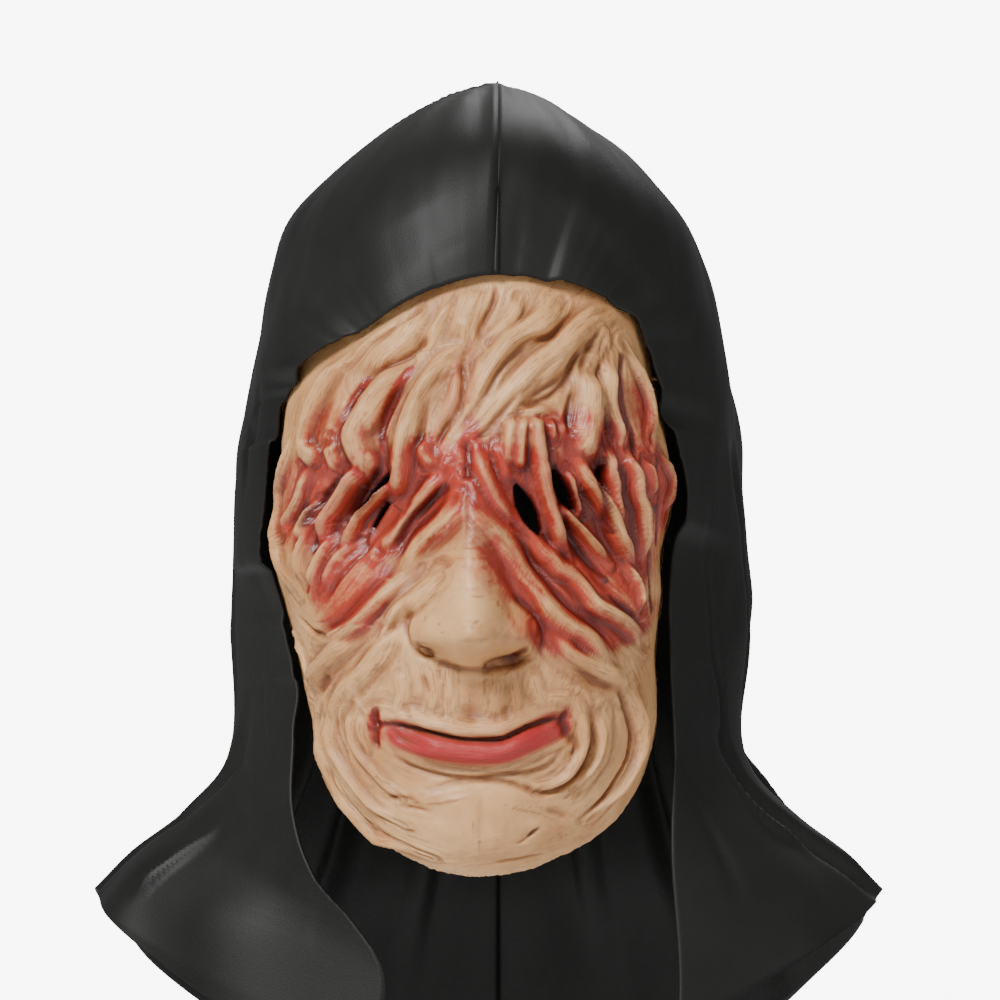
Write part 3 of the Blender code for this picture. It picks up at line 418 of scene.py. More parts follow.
# Folds seen from the front, over the photograph: route, width in its pixels, height in fold heights
FRONT_FOLDS = {
    "hood_right": (
        # route, width, height
        (((508, 262), (545, 268), (590, 282), (622, 300)), 40, -0.35),
        (((512, 222), (550, 236), (590, 254), (640, 300), (680, 360)), 52, 0.55),
        (((512, 238), (522, 246), (530, 256)), 12, 0.35),
        (((505, 236), (512, 243), (516, 256)), 9, -0.35),
        (((645, 316), (672, 356), (690, 410), (700, 470)), 26, -0.45),
        (((668, 330), (700, 400), (716, 480), (712, 560)), 34, 0.5),
        (((700, 500), (694, 560), (684, 620), (676, 680)), 34, 0.5),
        (((722, 440), (722, 540), (706, 640), (694, 720)), 30, -0.4),
        (((735, 480), (742, 580), (744, 680), (742, 760)), 26, 0.35),
        (((676, 700), (712, 780), (760, 850), (805, 920)), 44, 0.9),
        (((668, 760), (700, 830), (742, 890), (770, 950)), 34, -0.7),
        (((740, 760), (782, 820), (840, 860)), 30, -0.4),
        (((690, 850), (702, 900), (716, 960)), 26, 0.5),
    ),
    "hood_left": (
        # route, width, height
        (((488, 262), (450, 274), (400, 300), (340, 340), (290, 388)), 40, -0.35),
        (((486, 220), (440, 240), (390, 270), (330, 312), (278, 362)), 52, 0.5),
        (((476, 240), (452, 248), (430, 262)), 12, 0.3),
        (((262, 380), (250, 420), (238, 452), (230, 500)), 22, 0.5),
        (((258, 420), (252, 480), (250, 560), (262, 620)), 30, -0.4),
        (((228, 540), (252, 620), (280, 680), (296, 740)), 28, 0.6),
        (((236, 640), (250, 720), (262, 800), (258, 860)), 26, -0.5),
        (((220, 700), (226, 760), (232, 820)), 22, 0.4),
        (((300, 720), (280, 790), (264, 860), (268, 950)), 26, 0.7),
        (((286, 860), (300, 900), (312, 960)), 22, -0.6),
        (((340, 890), (362, 930), (366, 980)), 36, 0.6),
        (((200, 830), (160, 870), (130, 900)), 34, -0.4),
    ),
}

# Folds of the sides and back: route as turn from the front and drop as a share of the hood's height,
# width as a share of its width, height in fold heights
BACK_FOLDS = {
    "hood_right": (
        # route, width, height
        (((96, 0.26), (108, 0.40), (108, 0.60)), 0.16, -0.6),
        (((84, 0.30), (92, 0.46), (90, 0.64)), 0.12, 0.5),
        (((120, 0.34), (128, 0.55), (128, 0.88)), 0.15, 0.8),
        (((142, 0.42), (146, 0.64), (146, 0.95)), 0.14, -0.7),
        (((160, 0.38), (162, 0.62), (164, 0.98)), 0.13, 0.6),
        (((70, 0.62), (80, 0.72), (88, 0.80)), 0.13, 0.7),
        (((104, 0.62), (106, 0.72), (108, 0.84)), 0.12, -0.7),
    ),
    "hood_left": (
        # route, width, height
        (((98, 0.28), (112, 0.44), (104, 0.62)), 0.16, -0.6),
        (((86, 0.32), (92, 0.48), (88, 0.64)), 0.12, 0.5),
        (((122, 0.36), (131, 0.56), (130, 0.88)), 0.15, 0.8),
        (((145, 0.40), (149, 0.64), (148, 0.95)), 0.14, -0.7),
        (((162, 0.42), (165, 0.64), (166, 0.98)), 0.13, 0.6),
        (((74, 0.60), (84, 0.70), (92, 0.80)), 0.13, 0.7),
        (((108, 0.62), (110, 0.72), (112, 0.84)), 0.12, -0.7),
    ),
}

# How finely the surfaces are worked out, and how many of the latex's inner cells are drawn into one
FACE_CELLS = (268, 308)
HOOD_CELLS = (150, 210)
INNER_STEP = 3

# A strand's section and a crease's, as the power of a round arc, and how far each spreads past its width
RIDGE_SHARP = 1.4
CREASE_SHARP = 1.7
RIDGE_SPREAD = 0.72
CREASE_SPREAD = 0.62
NOSE_ROUND = 1.6
HOOD_MARGIN = 0.04

# The fine relief in metres: lumps all over, lines along the strands, hair lines, and their cells
LUMPS = ((0.00035, 0.013, 3), (0.0002, 0.006, 4))
LINES = ((0.00075, 0.10, 0.0028, 5), (0.00040, 0.12, 0.0014, 6))
HAIR_HEIGHT = 0.00013
HAIR_STEPS = 9
FLOW_REACH = 0.009
FLOW_CELLS = 6
UPRIGHT = -0.02

# The hood: the middle of its rings as a share of its depth, the ring at which the seam ends, how far
# the front edge's lift reaches into a panel, how far down its patch turns into a sweep, the reach at
# which the front edge leaves the face, the seam's dip and its width, and metres to a radian of turn
CROWN_BACK = 0.02
SEAM_RING = 4
EDGE_BLEND = 0.3
SWEEP_FROM = 0.45
LEAVES_FACE = (0.97, 1.01)
SEAM_DIP = 0.0016
SEAM_DIP_WIDTH = 0.0035
TURN_LENGTH = 0.11

# Paints, each a channel of the face's paint attributes; brown and deep also paint the shade under the nose
PAINTS = ("red", "deep", "brown_and_shade", "flesh", "lip")


def smooth_rows(rows, knots, places):
    """Values between table rows: a cubic through them whose slope at a row is that of its neighbours."""
    rows = np.asarray(rows, dtype=float)
    knots = np.asarray(knots, dtype=float)
    slopes = np.gradient(rows, knots, axis=0)
    index = np.clip(np.searchsorted(knots, places, side="right") - 1, 0, len(knots) - 2)
    span = knots[index + 1] - knots[index]
    t = np.clip((places - knots[index]) / span, 0.0, 1.0)[..., None]
    span = span[..., None]
    start = (1 + 2 * t) * (1 - t) ** 2 * rows[index] + t * (1 - t) ** 2 * span * slopes[index]
    end = t * t * (3 - 2 * t) * rows[index + 1] - t * t * (1 - t) * span * slopes[index + 1]
    return start + end


def soft_step(value):
    """A smooth rise from 0 to 1 as the value goes from 0 to 1."""
    value = np.clip(value, 0, 1)
    return value * value * (3 - 2 * value)


def lattice_noise(across, up, cell, seed):
    """Smooth noise from -1 to 1: random values at the corners of square cells, blended between them."""
    random = np.random.default_rng(seed)
    lattice = random.uniform(-1, 1, (64, 64))
    a, b = across / cell, up / cell
    i, j = np.floor(a).astype(int), np.floor(b).astype(int)
    s, t = soft_step(a - i), soft_step(b - j)
    low = lattice[i % 64, j % 64] * (1 - s) + lattice[(i + 1) % 64, j % 64] * s
    high = lattice[i % 64, (j + 1) % 64] * (1 - s) + lattice[(i + 1) % 64, (j + 1) % 64] * s
    return low * (1 - t) + high * t


def normals_of(points):
    """Unit normals of a grid of points, from the differences between its rows and its columns."""
    normal = np.cross(np.gradient(points, axis=1), np.gradient(points, axis=0))
    return normal / np.maximum(np.linalg.norm(normal, axis=-1, keepdims=True), 1e-12)


def distance_to(path, across, up):
    """How far each point lies from a path, on which side of it (positive on its left), and how far
    along it the nearest place is."""
    best = np.full(across.shape, np.inf)
    signed = np.zeros(across.shape)
    along = np.zeros(across.shape)
    start = 0.0
    for first, second in zip(path[:-1], path[1:]):
        step = second - first
        size = max(np.hypot(*step), 1e-12)
        dx, dy = across - first[0], up - first[1]
        t = np.clip((dx * step[0] + dy * step[1]) / size**2, 0, 1)
        gap = np.hypot(dx - t * step[0], dy - t * step[1])
        nearer = gap < best
        best = np.where(nearer, gap, best)
        signed = np.where(nearer, np.sign(step[0] * dy - step[1] * dx) * gap, signed)
        along = np.where(nearer, start + t * size, along)
        start += size
    return best, signed, along, start


class FaceForm:
    """The face's surface, worked out on its flat layout from a handful of sizes."""

    def __init__(self, sizes):
        self.half_width = sizes.width / 2
        self.half_height = sizes.height / 2
        self.depth = sizes.depth
        self.rim_turn = sizes.rim_turn
        self.nose = sizes.nose
        self.units = {"socket": sizes.socket, "lip": sizes.lip}
        self.strand = sizes.strand
        table = np.asarray(OUTLINE, dtype=float)
        self.knots = np.concatenate((table[-3:, 0] - 360, table[:, 0], table[:3, 0] + 360))
        self.rows = np.vstack((table[-3:, 1:], table[:, 1:], table[:3, 1:]))

    def outline_at(self, turn):
        """The outline table at a turn: reach, depth of the edge, length behind it, roundness, hood edge."""
        values = smooth_rows(self.rows, self.knots, np.degrees(turn) % 360)
        reach, back, turn_in, roundness, hood = np.moveaxis(values, -1, 0)
        ellipse = self.half_width * self.half_height
        ellipse = ellipse / np.hypot(self.half_height * np.cos(turn), self.half_width * np.sin(turn))
        roundness = np.minimum(roundness, 0.999)
        return reach * ellipse, back * self.depth, turn_in * self.rim_turn, roundness, hood

    def unrolled(self, across, up):
        """From the front view to the flat layout, where a point's reach is the length of its arc."""
        turn = np.arctan2(up, across)
        radius, _, _, roundness, _ = self.outline_at(turn)
        share = np.hypot(across, up) / radius
        arc = np.arcsin(np.clip(share, 0, 1) * roundness) / roundness + np.maximum(share - 1, 0)
        return arc * radius * np.cos(turn), arc * radius * np.sin(turn)

    def flat(self, columns, rows):
        """The flat layout's place of what shows at a pixel, found by drawing near it step by step."""
        across = (np.asarray(columns, dtype=float) - ORIGIN_COLUMN) * PIXEL - FACE_SHIFT
        up = FACE_DROP - (np.asarray(rows, dtype=float) - ORIGIN_ROW) * PIXEL
        guess_across, guess_up = across, up
        step = 1e-4
        for _ in range(3):
            a, b = self.unrolled(guess_across, guess_up)
            point = self.dome(a, b)
            slope_a, slope_b = self.dome(a + step, b) - point, self.dome(a, b + step) - point
            normal = np.cross(slope_a, slope_b)
            normal /= np.linalg.norm(normal, axis=-1, keepdims=True)
            low = self.large_forms(point[..., 0] - FACE_SHIFT, point[..., 2] + FACE_DROP)
            seen = point + normal * low[..., None]
            guess_across = guess_across + 0.8 * (across - seen[..., 0] + FACE_SHIFT)
            guess_up = guess_up + 0.8 * (up - seen[..., 2] - FACE_DROP)
        return self.unrolled(guess_across, guess_up)

    def dome(self, across, up):
        """The plain dome: each section through the centre is an arc to the edge, then a straight wall."""
        turn = np.arctan2(up, across)
        radius, back, _, roundness, _ = self.outline_at(turn)
        arc = np.hypot(across, up)
        last = np.arcsin(roundness)
        limit = last / roundness * radius
        angle = np.minimum(arc, limit) * roundness / radius
        past = np.maximum(arc - limit, 0)
        reach = radius * np.sin(angle) / roundness + past * np.cos(last)
        depth = back * (1 - np.cos(angle)) / (1 - np.cos(last)) + past * np.sin(last)
        x = FACE_SHIFT + reach * np.cos(turn)
        return np.stack((x, depth - FACE_FORWARD, reach * np.sin(turn) - FACE_DROP), axis=-1)

    def large_forms(self, across, up):
        """Nose, eye hollows, cheeks, muzzle and chin, by place in the front view."""
        table = np.asarray(NOSE, dtype=float)[::-1]
        level = up / self.half_height
        half_width, height = np.moveaxis(smooth_rows(table[:, 1:], table[:, 0], level), -1, 0)
        beside = (across / self.half_width - NOSE_LINE) / np.maximum(half_width, 0.05)
        inside = (level > table[0, 0]) & (level < table[-1, 0])
        total = np.where(inside, self.nose * np.maximum(height, 0) * np.exp(-NOSE_ROUND * beside**2), 0)
        for _, centre, middle, wide, tall, height, unit in SWELLINGS:
            dx = (across / self.half_width - centre) / wide
            dz = (up / self.half_height - middle) / tall
            total += height * self.units[unit] * np.clip(1 - (dx * dx + dz * dz) / 2, 0, 1) ** 2
        return total

    def clear_of_hood(self, across, up):
        """1 where the face shows, falling to 0 under the hood's front edge."""
        turn = np.arctan2(up, across)
        radius, _, _, roundness, hood = self.outline_at(turn)
        angle = np.minimum(np.hypot(across, up) * roundness / radius, np.arcsin(roundness))
        return soft_step((hood - np.sin(angle) / roundness) / HOOD_MARGIN)

    def strands(self, across, up):
        """Height, paint and grain of all strands and creases over the flat layout.

        A strand's section is a power of one minus the square of the distance from its middle; where two
        meet, the higher one shows. The grain is a point's distance from the nearest strand's middle and
        its place along it, so that fine streaks run with the strands.
        """
        ridge = np.zeros(across.shape)
        crease = np.zeros(across.shape)
        paint = {name: np.zeros(across.shape) for name in PAINTS}
        nearest = np.full(across.shape, 9.0)
        second = np.full(across.shape, 9.0)
        grain = np.zeros(across.shape + (3,))
        for number, (route, width, height, colour) in enumerate(STRANDS):
            places = np.linspace(0, len(route) - 1, 4 * len(route))
            line = np.asarray(route)
            if len(route) > 2:
                line = smooth_rows(route, np.arange(len(route)), places)
            path = np.stack(self.flat(line[:, 0], line[:, 1]), axis=-1)
            half = width * PIXEL * (RIDGE_SPREAD if height > 0 else CREASE_SPREAD)
            reach = half * 3
            near = (
                (across > path[:, 0].min() - reach) & (across < path[:, 0].max() + reach)
                & (up > path[:, 1].min() - reach) & (up < path[:, 1].max() + reach)
            )
            distance, signed, along, length = distance_to(path, across[near], up[near])
            end = np.minimum(along, length - along) / max(length, 1e-9)
            if colour == "lobe":
                end = along / max(length, 1e-9)
            taper = soft_step(3.6 * end) if height > 0 else soft_step(0.15 + 4 * end)
            q = np.clip(distance / (half * (1.15 - 0.15 * taper)), 0, 1)
            section = (1 - q * q) ** (RIDGE_SHARP if height > 0 else CREASE_SHARP)
            form = height * self.strand * taper * section
            if height > 0:
                ridge[near] = np.maximum(ridge[near], form)
                share = distance / half
                old, other = nearest[near], second[near]
                closer = share < old
                second[near] = np.where(closer, old, np.minimum(other, share))
                nearest[near] = np.where(closer, share, old)
                values = np.stack((signed, along, np.full(signed.shape, number * 0.05)), axis=-1)
                grain[near] = np.where(closer[..., None], values, grain[near])
                on = soft_step(2.2 * (1 - q))
            else:
                crease[near] = np.minimum(crease[near], form)
                on = soft_step(1.6 * (1 - q))
            for name in ("deep", "lip") if colour == "lipline" else (colour,):
                if name in paint:
                    paint[name][near] = np.maximum(paint[name][near], on)
        streak = np.clip((second - nearest) * 4, 0, 1) * np.clip(2.4 - nearest, 0, 1)
        return ridge, crease, paint, grain, streak

    def washes(self, across, up, paint):
        """Adds the broad washes to the paint."""
        for column, row, wide, tall, strength, colour in WASHES:
            centre = self.flat(column, row)
            edge = self.flat(column + wide * np.sign(column - FACE_COLUMN), row)
            half_wide = max(np.hypot(edge[0] - centre[0], edge[1] - centre[1]), wide * PIXEL)
            q = np.hypot((across - centre[0]) / half_wide, (up - centre[1]) / (tall * PIXEL))
            wash = strength * soft_step(1.25 * (1.3 - q))
            paint[colour] = np.maximum(paint[colour], wash)


def slit_field(form, across, up):
    """The distance to the nearest slit's edge over the flat layout, negative inside the slit."""
    field = np.full(across.shape, 1.0)
    for start, middle, end, width in SLITS:
        line = smooth_rows((start, middle, end), (0, 1, 2), np.linspace(0, 2, 17))
        path = np.stack(form.flat(line[:, 0], line[:, 1]), axis=-1)
        distance, _, along, length = distance_to(path, across, up)
        half = width * PIXEL / 2 * np.sin(np.pi * np.clip(along / length, 0.02, 0.98)) ** 0.7
        field = np.minimum(field, distance - half)
    return field


def face_grid():
    """A grid that covers the flat layout's disc: a square whose sides are bent out to the circle."""
    columns, rows = FACE_CELLS
    a, b = np.meshgrid(np.linspace(-1, 1, columns), np.linspace(-1, 1, rows))
    return a * np.sqrt(1 - b * b / 2), b * np.sqrt(1 - a * a / 2)


def blurred(values, spans):
    """Values of a grid, averaged with those a number of cells to each side, for one span after another."""
    for span in spans:
        padded = np.pad(values, span, mode="edge")
        middle = slice(span, -span)
        values = (
            2 * padded[middle, middle] + padded[: -2 * span, middle] + padded[2 * span:, middle]
            + padded[middle, : -2 * span] + padded[middle, 2 * span:]
        ) / 6
    return values


def flow_angle(form, across, up):
    """The strands' direction over the grid: near each place, that of the strands around it."""
    coarse = FLOW_CELLS
    rough_across, rough_up = across[::coarse, ::coarse], up[::coarse, ::coarse]
    cosine = np.full(rough_across.shape, UPRIGHT)
    sine = np.zeros(rough_across.shape)
    for route, _, height, _ in STRANDS:
        if len(route) < 3:
            continue
        line = smooth_rows(route, np.arange(len(route)), np.linspace(0, len(route) - 1, 2 * len(route)))
        path = np.stack(form.flat(line[:, 0], line[:, 1]), axis=-1)
        for first, second in zip(path[:-1], path[1:]):
            angle = 2 * math.atan2(second[1] - first[1], second[0] - first[0])
            middle = (first + second) / 2
            gap = np.hypot(rough_across - middle[0], rough_up - middle[1])
            weight = np.exp(-((gap / FLOW_REACH) ** 2))
            cosine += weight * math.cos(angle)
            sine += weight * math.sin(angle)
    rows, columns = across.shape
    down = np.arange(rows) / coarse
    along = np.arange(columns) / coarse
    fine = []
    for field in (cosine, sine):
        wide = np.stack([np.interp(along, np.arange(field.shape[1]), row) for row in field])
        fine.append(np.stack([np.interp(down, np.arange(field.shape[0]), row) for row in wide.T]).T)
    return np.arctan2(fine[1], fine[0]) / 2


def hair_lines(form, across, up, seed, steps):
    """Fine lines that run with the strands: noise that is averaged along their direction."""
    angle = flow_angle(form, across, up)
    across_right, across_down = np.gradient(across, axis=1), np.gradient(across, axis=0)
    up_right, up_down = np.gradient(up, axis=1), np.gradient(up, axis=0)
    right = np.cos(angle) * up_down - np.sin(angle) * across_down
    down = np.sin(angle) * across_right - np.cos(angle) * up_right
    size = np.maximum(np.hypot(right, down), 1e-12)
    right, down = right / size, down / size
    noise = np.random.default_rng(seed).normal(0, 1, across.shape)
    total = noise.copy()
    rows, columns = np.indices(across.shape)
    for sense in (1, -1):
        row, column = rows.astype(float), columns.astype(float)
        last_right, last_down = sense * right, sense * down
        for _ in range(steps):
            i = np.clip(np.rint(row), 0, across.shape[0] - 1).astype(int)
            j = np.clip(np.rint(column), 0, across.shape[1] - 1).astype(int)
            turned = np.where(right[i, j] * last_right + down[i, j] * last_down < 0, -1, 1)
            last_right, last_down = turned * right[i, j], turned * down[i, j]
            row, column = row + last_down, column + last_right
            total += noise[i, j]
    return total / total.std()


def open_slits(form, across, up):
    """Draws the grid's points beside each slit onto its edge, and says which points lie outside it."""
    field = slit_field(form, across, up)
    step = 1e-4
    slope_x = (slit_field(form, across + step, up) - field) / step
    slope_y = (slit_field(form, across, up + step) - field) / step
    size = np.maximum(np.hypot(slope_x, slope_y), 0.3)
    inside = field < 0
    border = inside & (blurred((~inside).astype(float), (1,)) > 0)
    across = np.where(border, across - field * slope_x / size**2, across)
    up = np.where(border, up - field * slope_y / size**2, up)
    return across, up, ~inside | border, np.maximum(field, 0)


def build_face(sizes):
    """The closed latex shell and its paint: an outer grid with every strand, an inner one with less."""
    form = FaceForm(sizes)
    u, v = face_grid()
    turn = np.arctan2(v, u)
    radius, _, turn_in, roundness, _ = form.outline_at(turn)
    arc = np.hypot(u, v) * (np.arcsin(roundness) / roundness * radius + turn_in)
    across, up, kept, slit = open_slits(form, arc * np.cos(turn), arc * np.sin(turn))
    base = form.dome(across, up)
    outward = normals_of(base)
    low = form.large_forms(base[..., 0] - FACE_SHIFT, base[..., 2] + FACE_DROP)
    clear = form.clear_of_hood(across, up)
    ridge, crease, paint, grain, streak = form.strands(across, up)
    form.washes(across, up, paint)
    lumps = sum(height * lattice_noise(across, up, cell, seed) for height, cell, seed in LUMPS)
    aside = grain[..., 0] + grain[..., 2]
    lines = sum(
        height * lattice_noise(aside, grain[..., 1] * stretch, cell, seed)
        for height, stretch, cell, seed in LINES
    )
    lines *= streak * clear
    high = blurred((ridge + crease) * clear, (1,))
    hair = hair_lines(form, across, up, 8, HAIR_STEPS)
    outer = base + outward * (low + high + lumps + lines + HAIR_HEIGHT * hair * clear)[..., None]
    inner_relief = low + 0.25 * blurred(ridge * clear, (1, 2, 4)) - sizes.wall
    inner = base + outward * inner_relief[..., None]
    detail = high + lines
    cavity = 0.65 * (blurred(detail, (1, 2, 4, 6)) - detail) + 0.6 * (blurred(detail, (1, 2)) - detail)
    return outer, inner, kept, {
        "cavity": cavity / sizes.strand,
        "slit": slit,
        "streak": streak,
        "hair": hair,
        "grain": grain,
        **paint,
    }


class HoodForm:
    """The hood's cloth, worked out on a flat layout round the crown from a handful of sizes."""

    def __init__(self, sizes, face):
        self.sizes = sizes
        self.face = face
        scale = (sizes.width, sizes.depth, sizes.depth, sizes.height, sizes.height, sizes.height)
        self.table = np.asarray(RINGS) * scale
        steps = np.hypot(np.diff(self.table[:, 0]), np.diff(self.table[:, 3]))
        self.lengths = np.concatenate(([0], np.cumsum(steps)))
        above = self.table[2:0:-1] * (-1, -1, -1, 1, 1, 1)
        self.rows = np.vstack((above, self.table))
        self.knots = np.concatenate((-self.lengths[2:0:-1], self.lengths))

    def ring(self, turn, length):
        """The plain form at a turn from the front and a length down from the crown: level ovals."""
        values = np.moveaxis(smooth_rows(self.rows, self.knots, length), -1, 0)
        width, front, back, side_drop, front_drop, back_drop = values
        ahead = np.cos(turn) > 0
        reach = np.where(ahead, front, back)
        end_drop = np.where(ahead, front_drop, back_drop)
        drop = side_drop + (end_drop - side_drop) * np.abs(np.cos(turn)) ** 1.5
        forward = CROWN_BACK * self.sizes.depth - reach * np.cos(turn)
        return np.stack((width * np.sin(turn), forward, -drop), axis=-1)

    def length_at(self, turn, drop):
        """The length down from the crown at which the plain form has a given drop, at a given turn."""
        lengths = np.linspace(0, self.lengths[-1], 200)
        turns = np.broadcast_to(np.asarray(turn, dtype=float), np.shape(drop))
        found = [
            np.interp(one_drop, -self.ring(np.full(200, one_turn), lengths)[:, 2], lengths)
            for one_turn, one_drop in zip(turns, drop)
        ]
        return np.asarray(found)

    def flat(self, turn, length):
        return np.stack((length * np.cos(turn), length * np.sin(turn)), axis=-1)

    def seen_at(self, side, columns, rows):
        """The flat layout's place of what shows at a pixel of the photograph, on the front half."""
        across = side * ((np.asarray(columns) - ORIGIN_COLUMN) * PIXEL - self.sizes.shift)
        drop = (np.asarray(rows) - ORIGIN_ROW) * PIXEL
        turn = np.full(len(drop), math.pi / 4)
        for _ in range(8):
            length = self.length_at(turn, drop)
            width = smooth_rows(self.rows, self.knots, length)[:, 0]
            turn = np.arcsin(np.clip(across / np.maximum(width, 0.01), 0, 0.97))
        return self.flat(turn, self.length_at(turn, drop))

    def front_edge(self, name, count):
        """Points of a panel's front edge: on the face where it covers it, and beside it below."""
        face = self.face
        table = np.asarray(FRONT_EDGES[name], dtype=float)
        places = np.linspace(0, len(table) - 1, count)
        turn, reach, back = np.moveaxis(smooth_rows(table, np.arange(len(table)), places), -1, 0)
        turn = np.radians(turn)
        radius, rim, _, roundness, _ = face.outline_at(turn)
        angle = np.arcsin(np.clip(reach, 0, 1) * roundness)
        on_face = rim * (1 - np.cos(angle)) / (1 - np.cos(np.arcsin(roundness)))
        blend = np.clip((reach - LEAVES_FACE[0]) / (LEAVES_FACE[1] - LEAVES_FACE[0]), 0, 1)
        depth = on_face * (1 - blend) + back * face.depth * blend
        turns = turn[:, None] + np.radians(np.linspace(-7, 7, 9))
        near_radius, _, _, near_round, _ = face.outline_at(turns)
        highest = np.zeros(count)
        for share in (0.94, 1.0, 1.06):
            arc = angle[:, None] / near_round * near_radius * share
            across, up = arc * np.cos(turns), arc * np.sin(turns)
            height = face.strands(across, up)[0] * face.clear_of_hood(across, up)
            highest = np.maximum(highest, height.max(axis=1))
        lift = self.sizes.edge_lift + highest
        radius = radius * reach + lift * np.sin(angle)
        x = FACE_SHIFT + radius * np.cos(turn)
        y = depth - FACE_FORWARD - lift * np.cos(angle)
        return np.stack((x, y, radius * np.sin(turn) - FACE_DROP), axis=-1)

    def layout(self, name, side):
        """The panel's grid, spread between the seam over the crown, front edge, hem and back seam."""
        columns, rows = HOOD_CELLS
        edge = self.front_edge(name, rows)
        turn = np.arctan2(
            side * (edge[:, 0] - self.sizes.shift) / self.sizes.width, -edge[:, 1] / self.sizes.depth
        )
        turn[0] = 0
        length = self.length_at(turn, -edge[:, 2])
        last = self.lengths[-1]
        length = length * np.minimum(1, last / length[-1])
        length[-1] = last
        front = self.flat(turn, length)
        place = np.linspace(0, 1, columns)[:, None]
        down = np.linspace(0, 1, rows)[:, None]
        corner = np.array((-self.lengths[SEAM_RING], 0))
        end = np.array((-last, 0))
        seam = front[0] + (corner - front[0]) * place
        back = corner + (end - corner) * down
        hem = self.flat(turn[-1] + (np.pi - turn[-1]) * place[:, 0], last)
        u, t = place[None, :, :], down[:, None, :]
        sides = (1 - u) * front[:, None] + u * back[:, None] + (1 - t) * seam[None] + t * hem[None]
        corners = (1 - u) * ((1 - t) * front[0] + t * front[-1]) + u * ((1 - t) * corner + t * end)
        swept_turn = turn[:, None] * (1 - u[..., 0]) + np.pi * u[..., 0]
        swept_length = length[:, None] * (1 - u[..., 0]) - back[:, None, 0] * u[..., 0]
        swept = self.flat(swept_turn, swept_length)
        low = soft_step(t / SWEEP_FROM)
        return (sides - corners) * (1 - low) + swept * low, edge

    def folds(self, name, side, layout):
        """The height of folds and furrows, each a rounded ridge or hollow that fades at its ends."""
        paths = []
        for route, width, height in FRONT_FOLDS[name]:
            line = smooth_rows(route, np.arange(len(route)), np.linspace(0, len(route) - 1, 5 * len(route)))
            paths.append((self.seen_at(side, line[:, 0], line[:, 1]), width * PIXEL, height))
        for route, width, height in BACK_FOLDS[name]:
            line = smooth_rows(route, np.arange(len(route)), np.linspace(0, len(route) - 1, 15))
            turn = np.radians(line[:, 0])
            length = self.length_at(turn, line[:, 1] * self.sizes.height)
            paths.append((self.flat(turn, length), width * self.sizes.width, height))
        total = np.zeros(layout.shape[:-1])
        for path, width, height in paths:
            distance, _, along, length = distance_to(path, layout[..., 0], layout[..., 1])
            end = np.minimum(along, length - along) / max(length, 1e-9)
            q = np.clip(distance / (width * 0.8), 0, 1)
            total += height * self.sizes.fold * soft_step(0.1 + 3 * end) * (1 - q * q) ** 2
        return total

    def panel(self, name, side):
        """The two surfaces of a panel: the plain form with folds, drawn to the front edge."""
        columns, rows = HOOD_CELLS
        layout, edge = self.layout(name, side)
        turn = np.arctan2(layout[..., 1], layout[..., 0])
        turn[:, -1] = np.pi
        turn[0] = np.where(layout[0, :, 0] > 0, 0, np.pi)
        length = np.hypot(layout[..., 0], layout[..., 1])
        form = self.ring(turn, length)
        outward = normals_of(form)
        place = np.linspace(0, 1, columns)[None, :, None]
        near_edge = soft_step(1 - place / EDGE_BLEND)
        at_seam = soft_step(np.sin(turn) * 6)
        drop = -form[..., 2] / self.sizes.height
        seed = 20 if side > 0 else 30
        waves = 0.0022 * lattice_noise(turn * TURN_LENGTH, length, 0.055, seed) * soft_step(drop * 3)
        waves += 0.0009 * lattice_noise(turn * TURN_LENGTH + 0.3 * length, length * 0.35, 0.012, seed + 1)
        sway = np.sin(turn * 15 + 6 * length / self.sizes.height + side)
        waves += 0.004 * sway * soft_step(drop * 3.2 - 2)
        height = (self.folds(name, side, layout) + waves) * at_seam
        seam_gap = length * np.abs(np.sin(turn))
        height -= SEAM_DIP * np.exp(-((seam_gap / SEAM_DIP_WIDTH) ** 2))
        form = form + outward * height[..., None] * (1 - near_edge)
        form[..., 0] = side * form[..., 0] + self.sizes.shift + self.sizes.seam_shift * np.cos(turn) ** 2
        form = form + (edge - form[:, 0])[:, None] * near_edge
        seam = self.sizes.shift + self.sizes.seam_shift
        form[0, :, 0] = seam
        form[:, -1, 0] = seam
        outward = normals_of(form) * side
        outward[0, -1] = outward[0, -2] + outward[1, -1]
        outward[0, :, 0] = 0
        outward[:, -1, 0] = 0
        outward /= np.linalg.norm(outward, axis=-1, keepdims=True)
        return form + outward * self.sizes.cloth, form


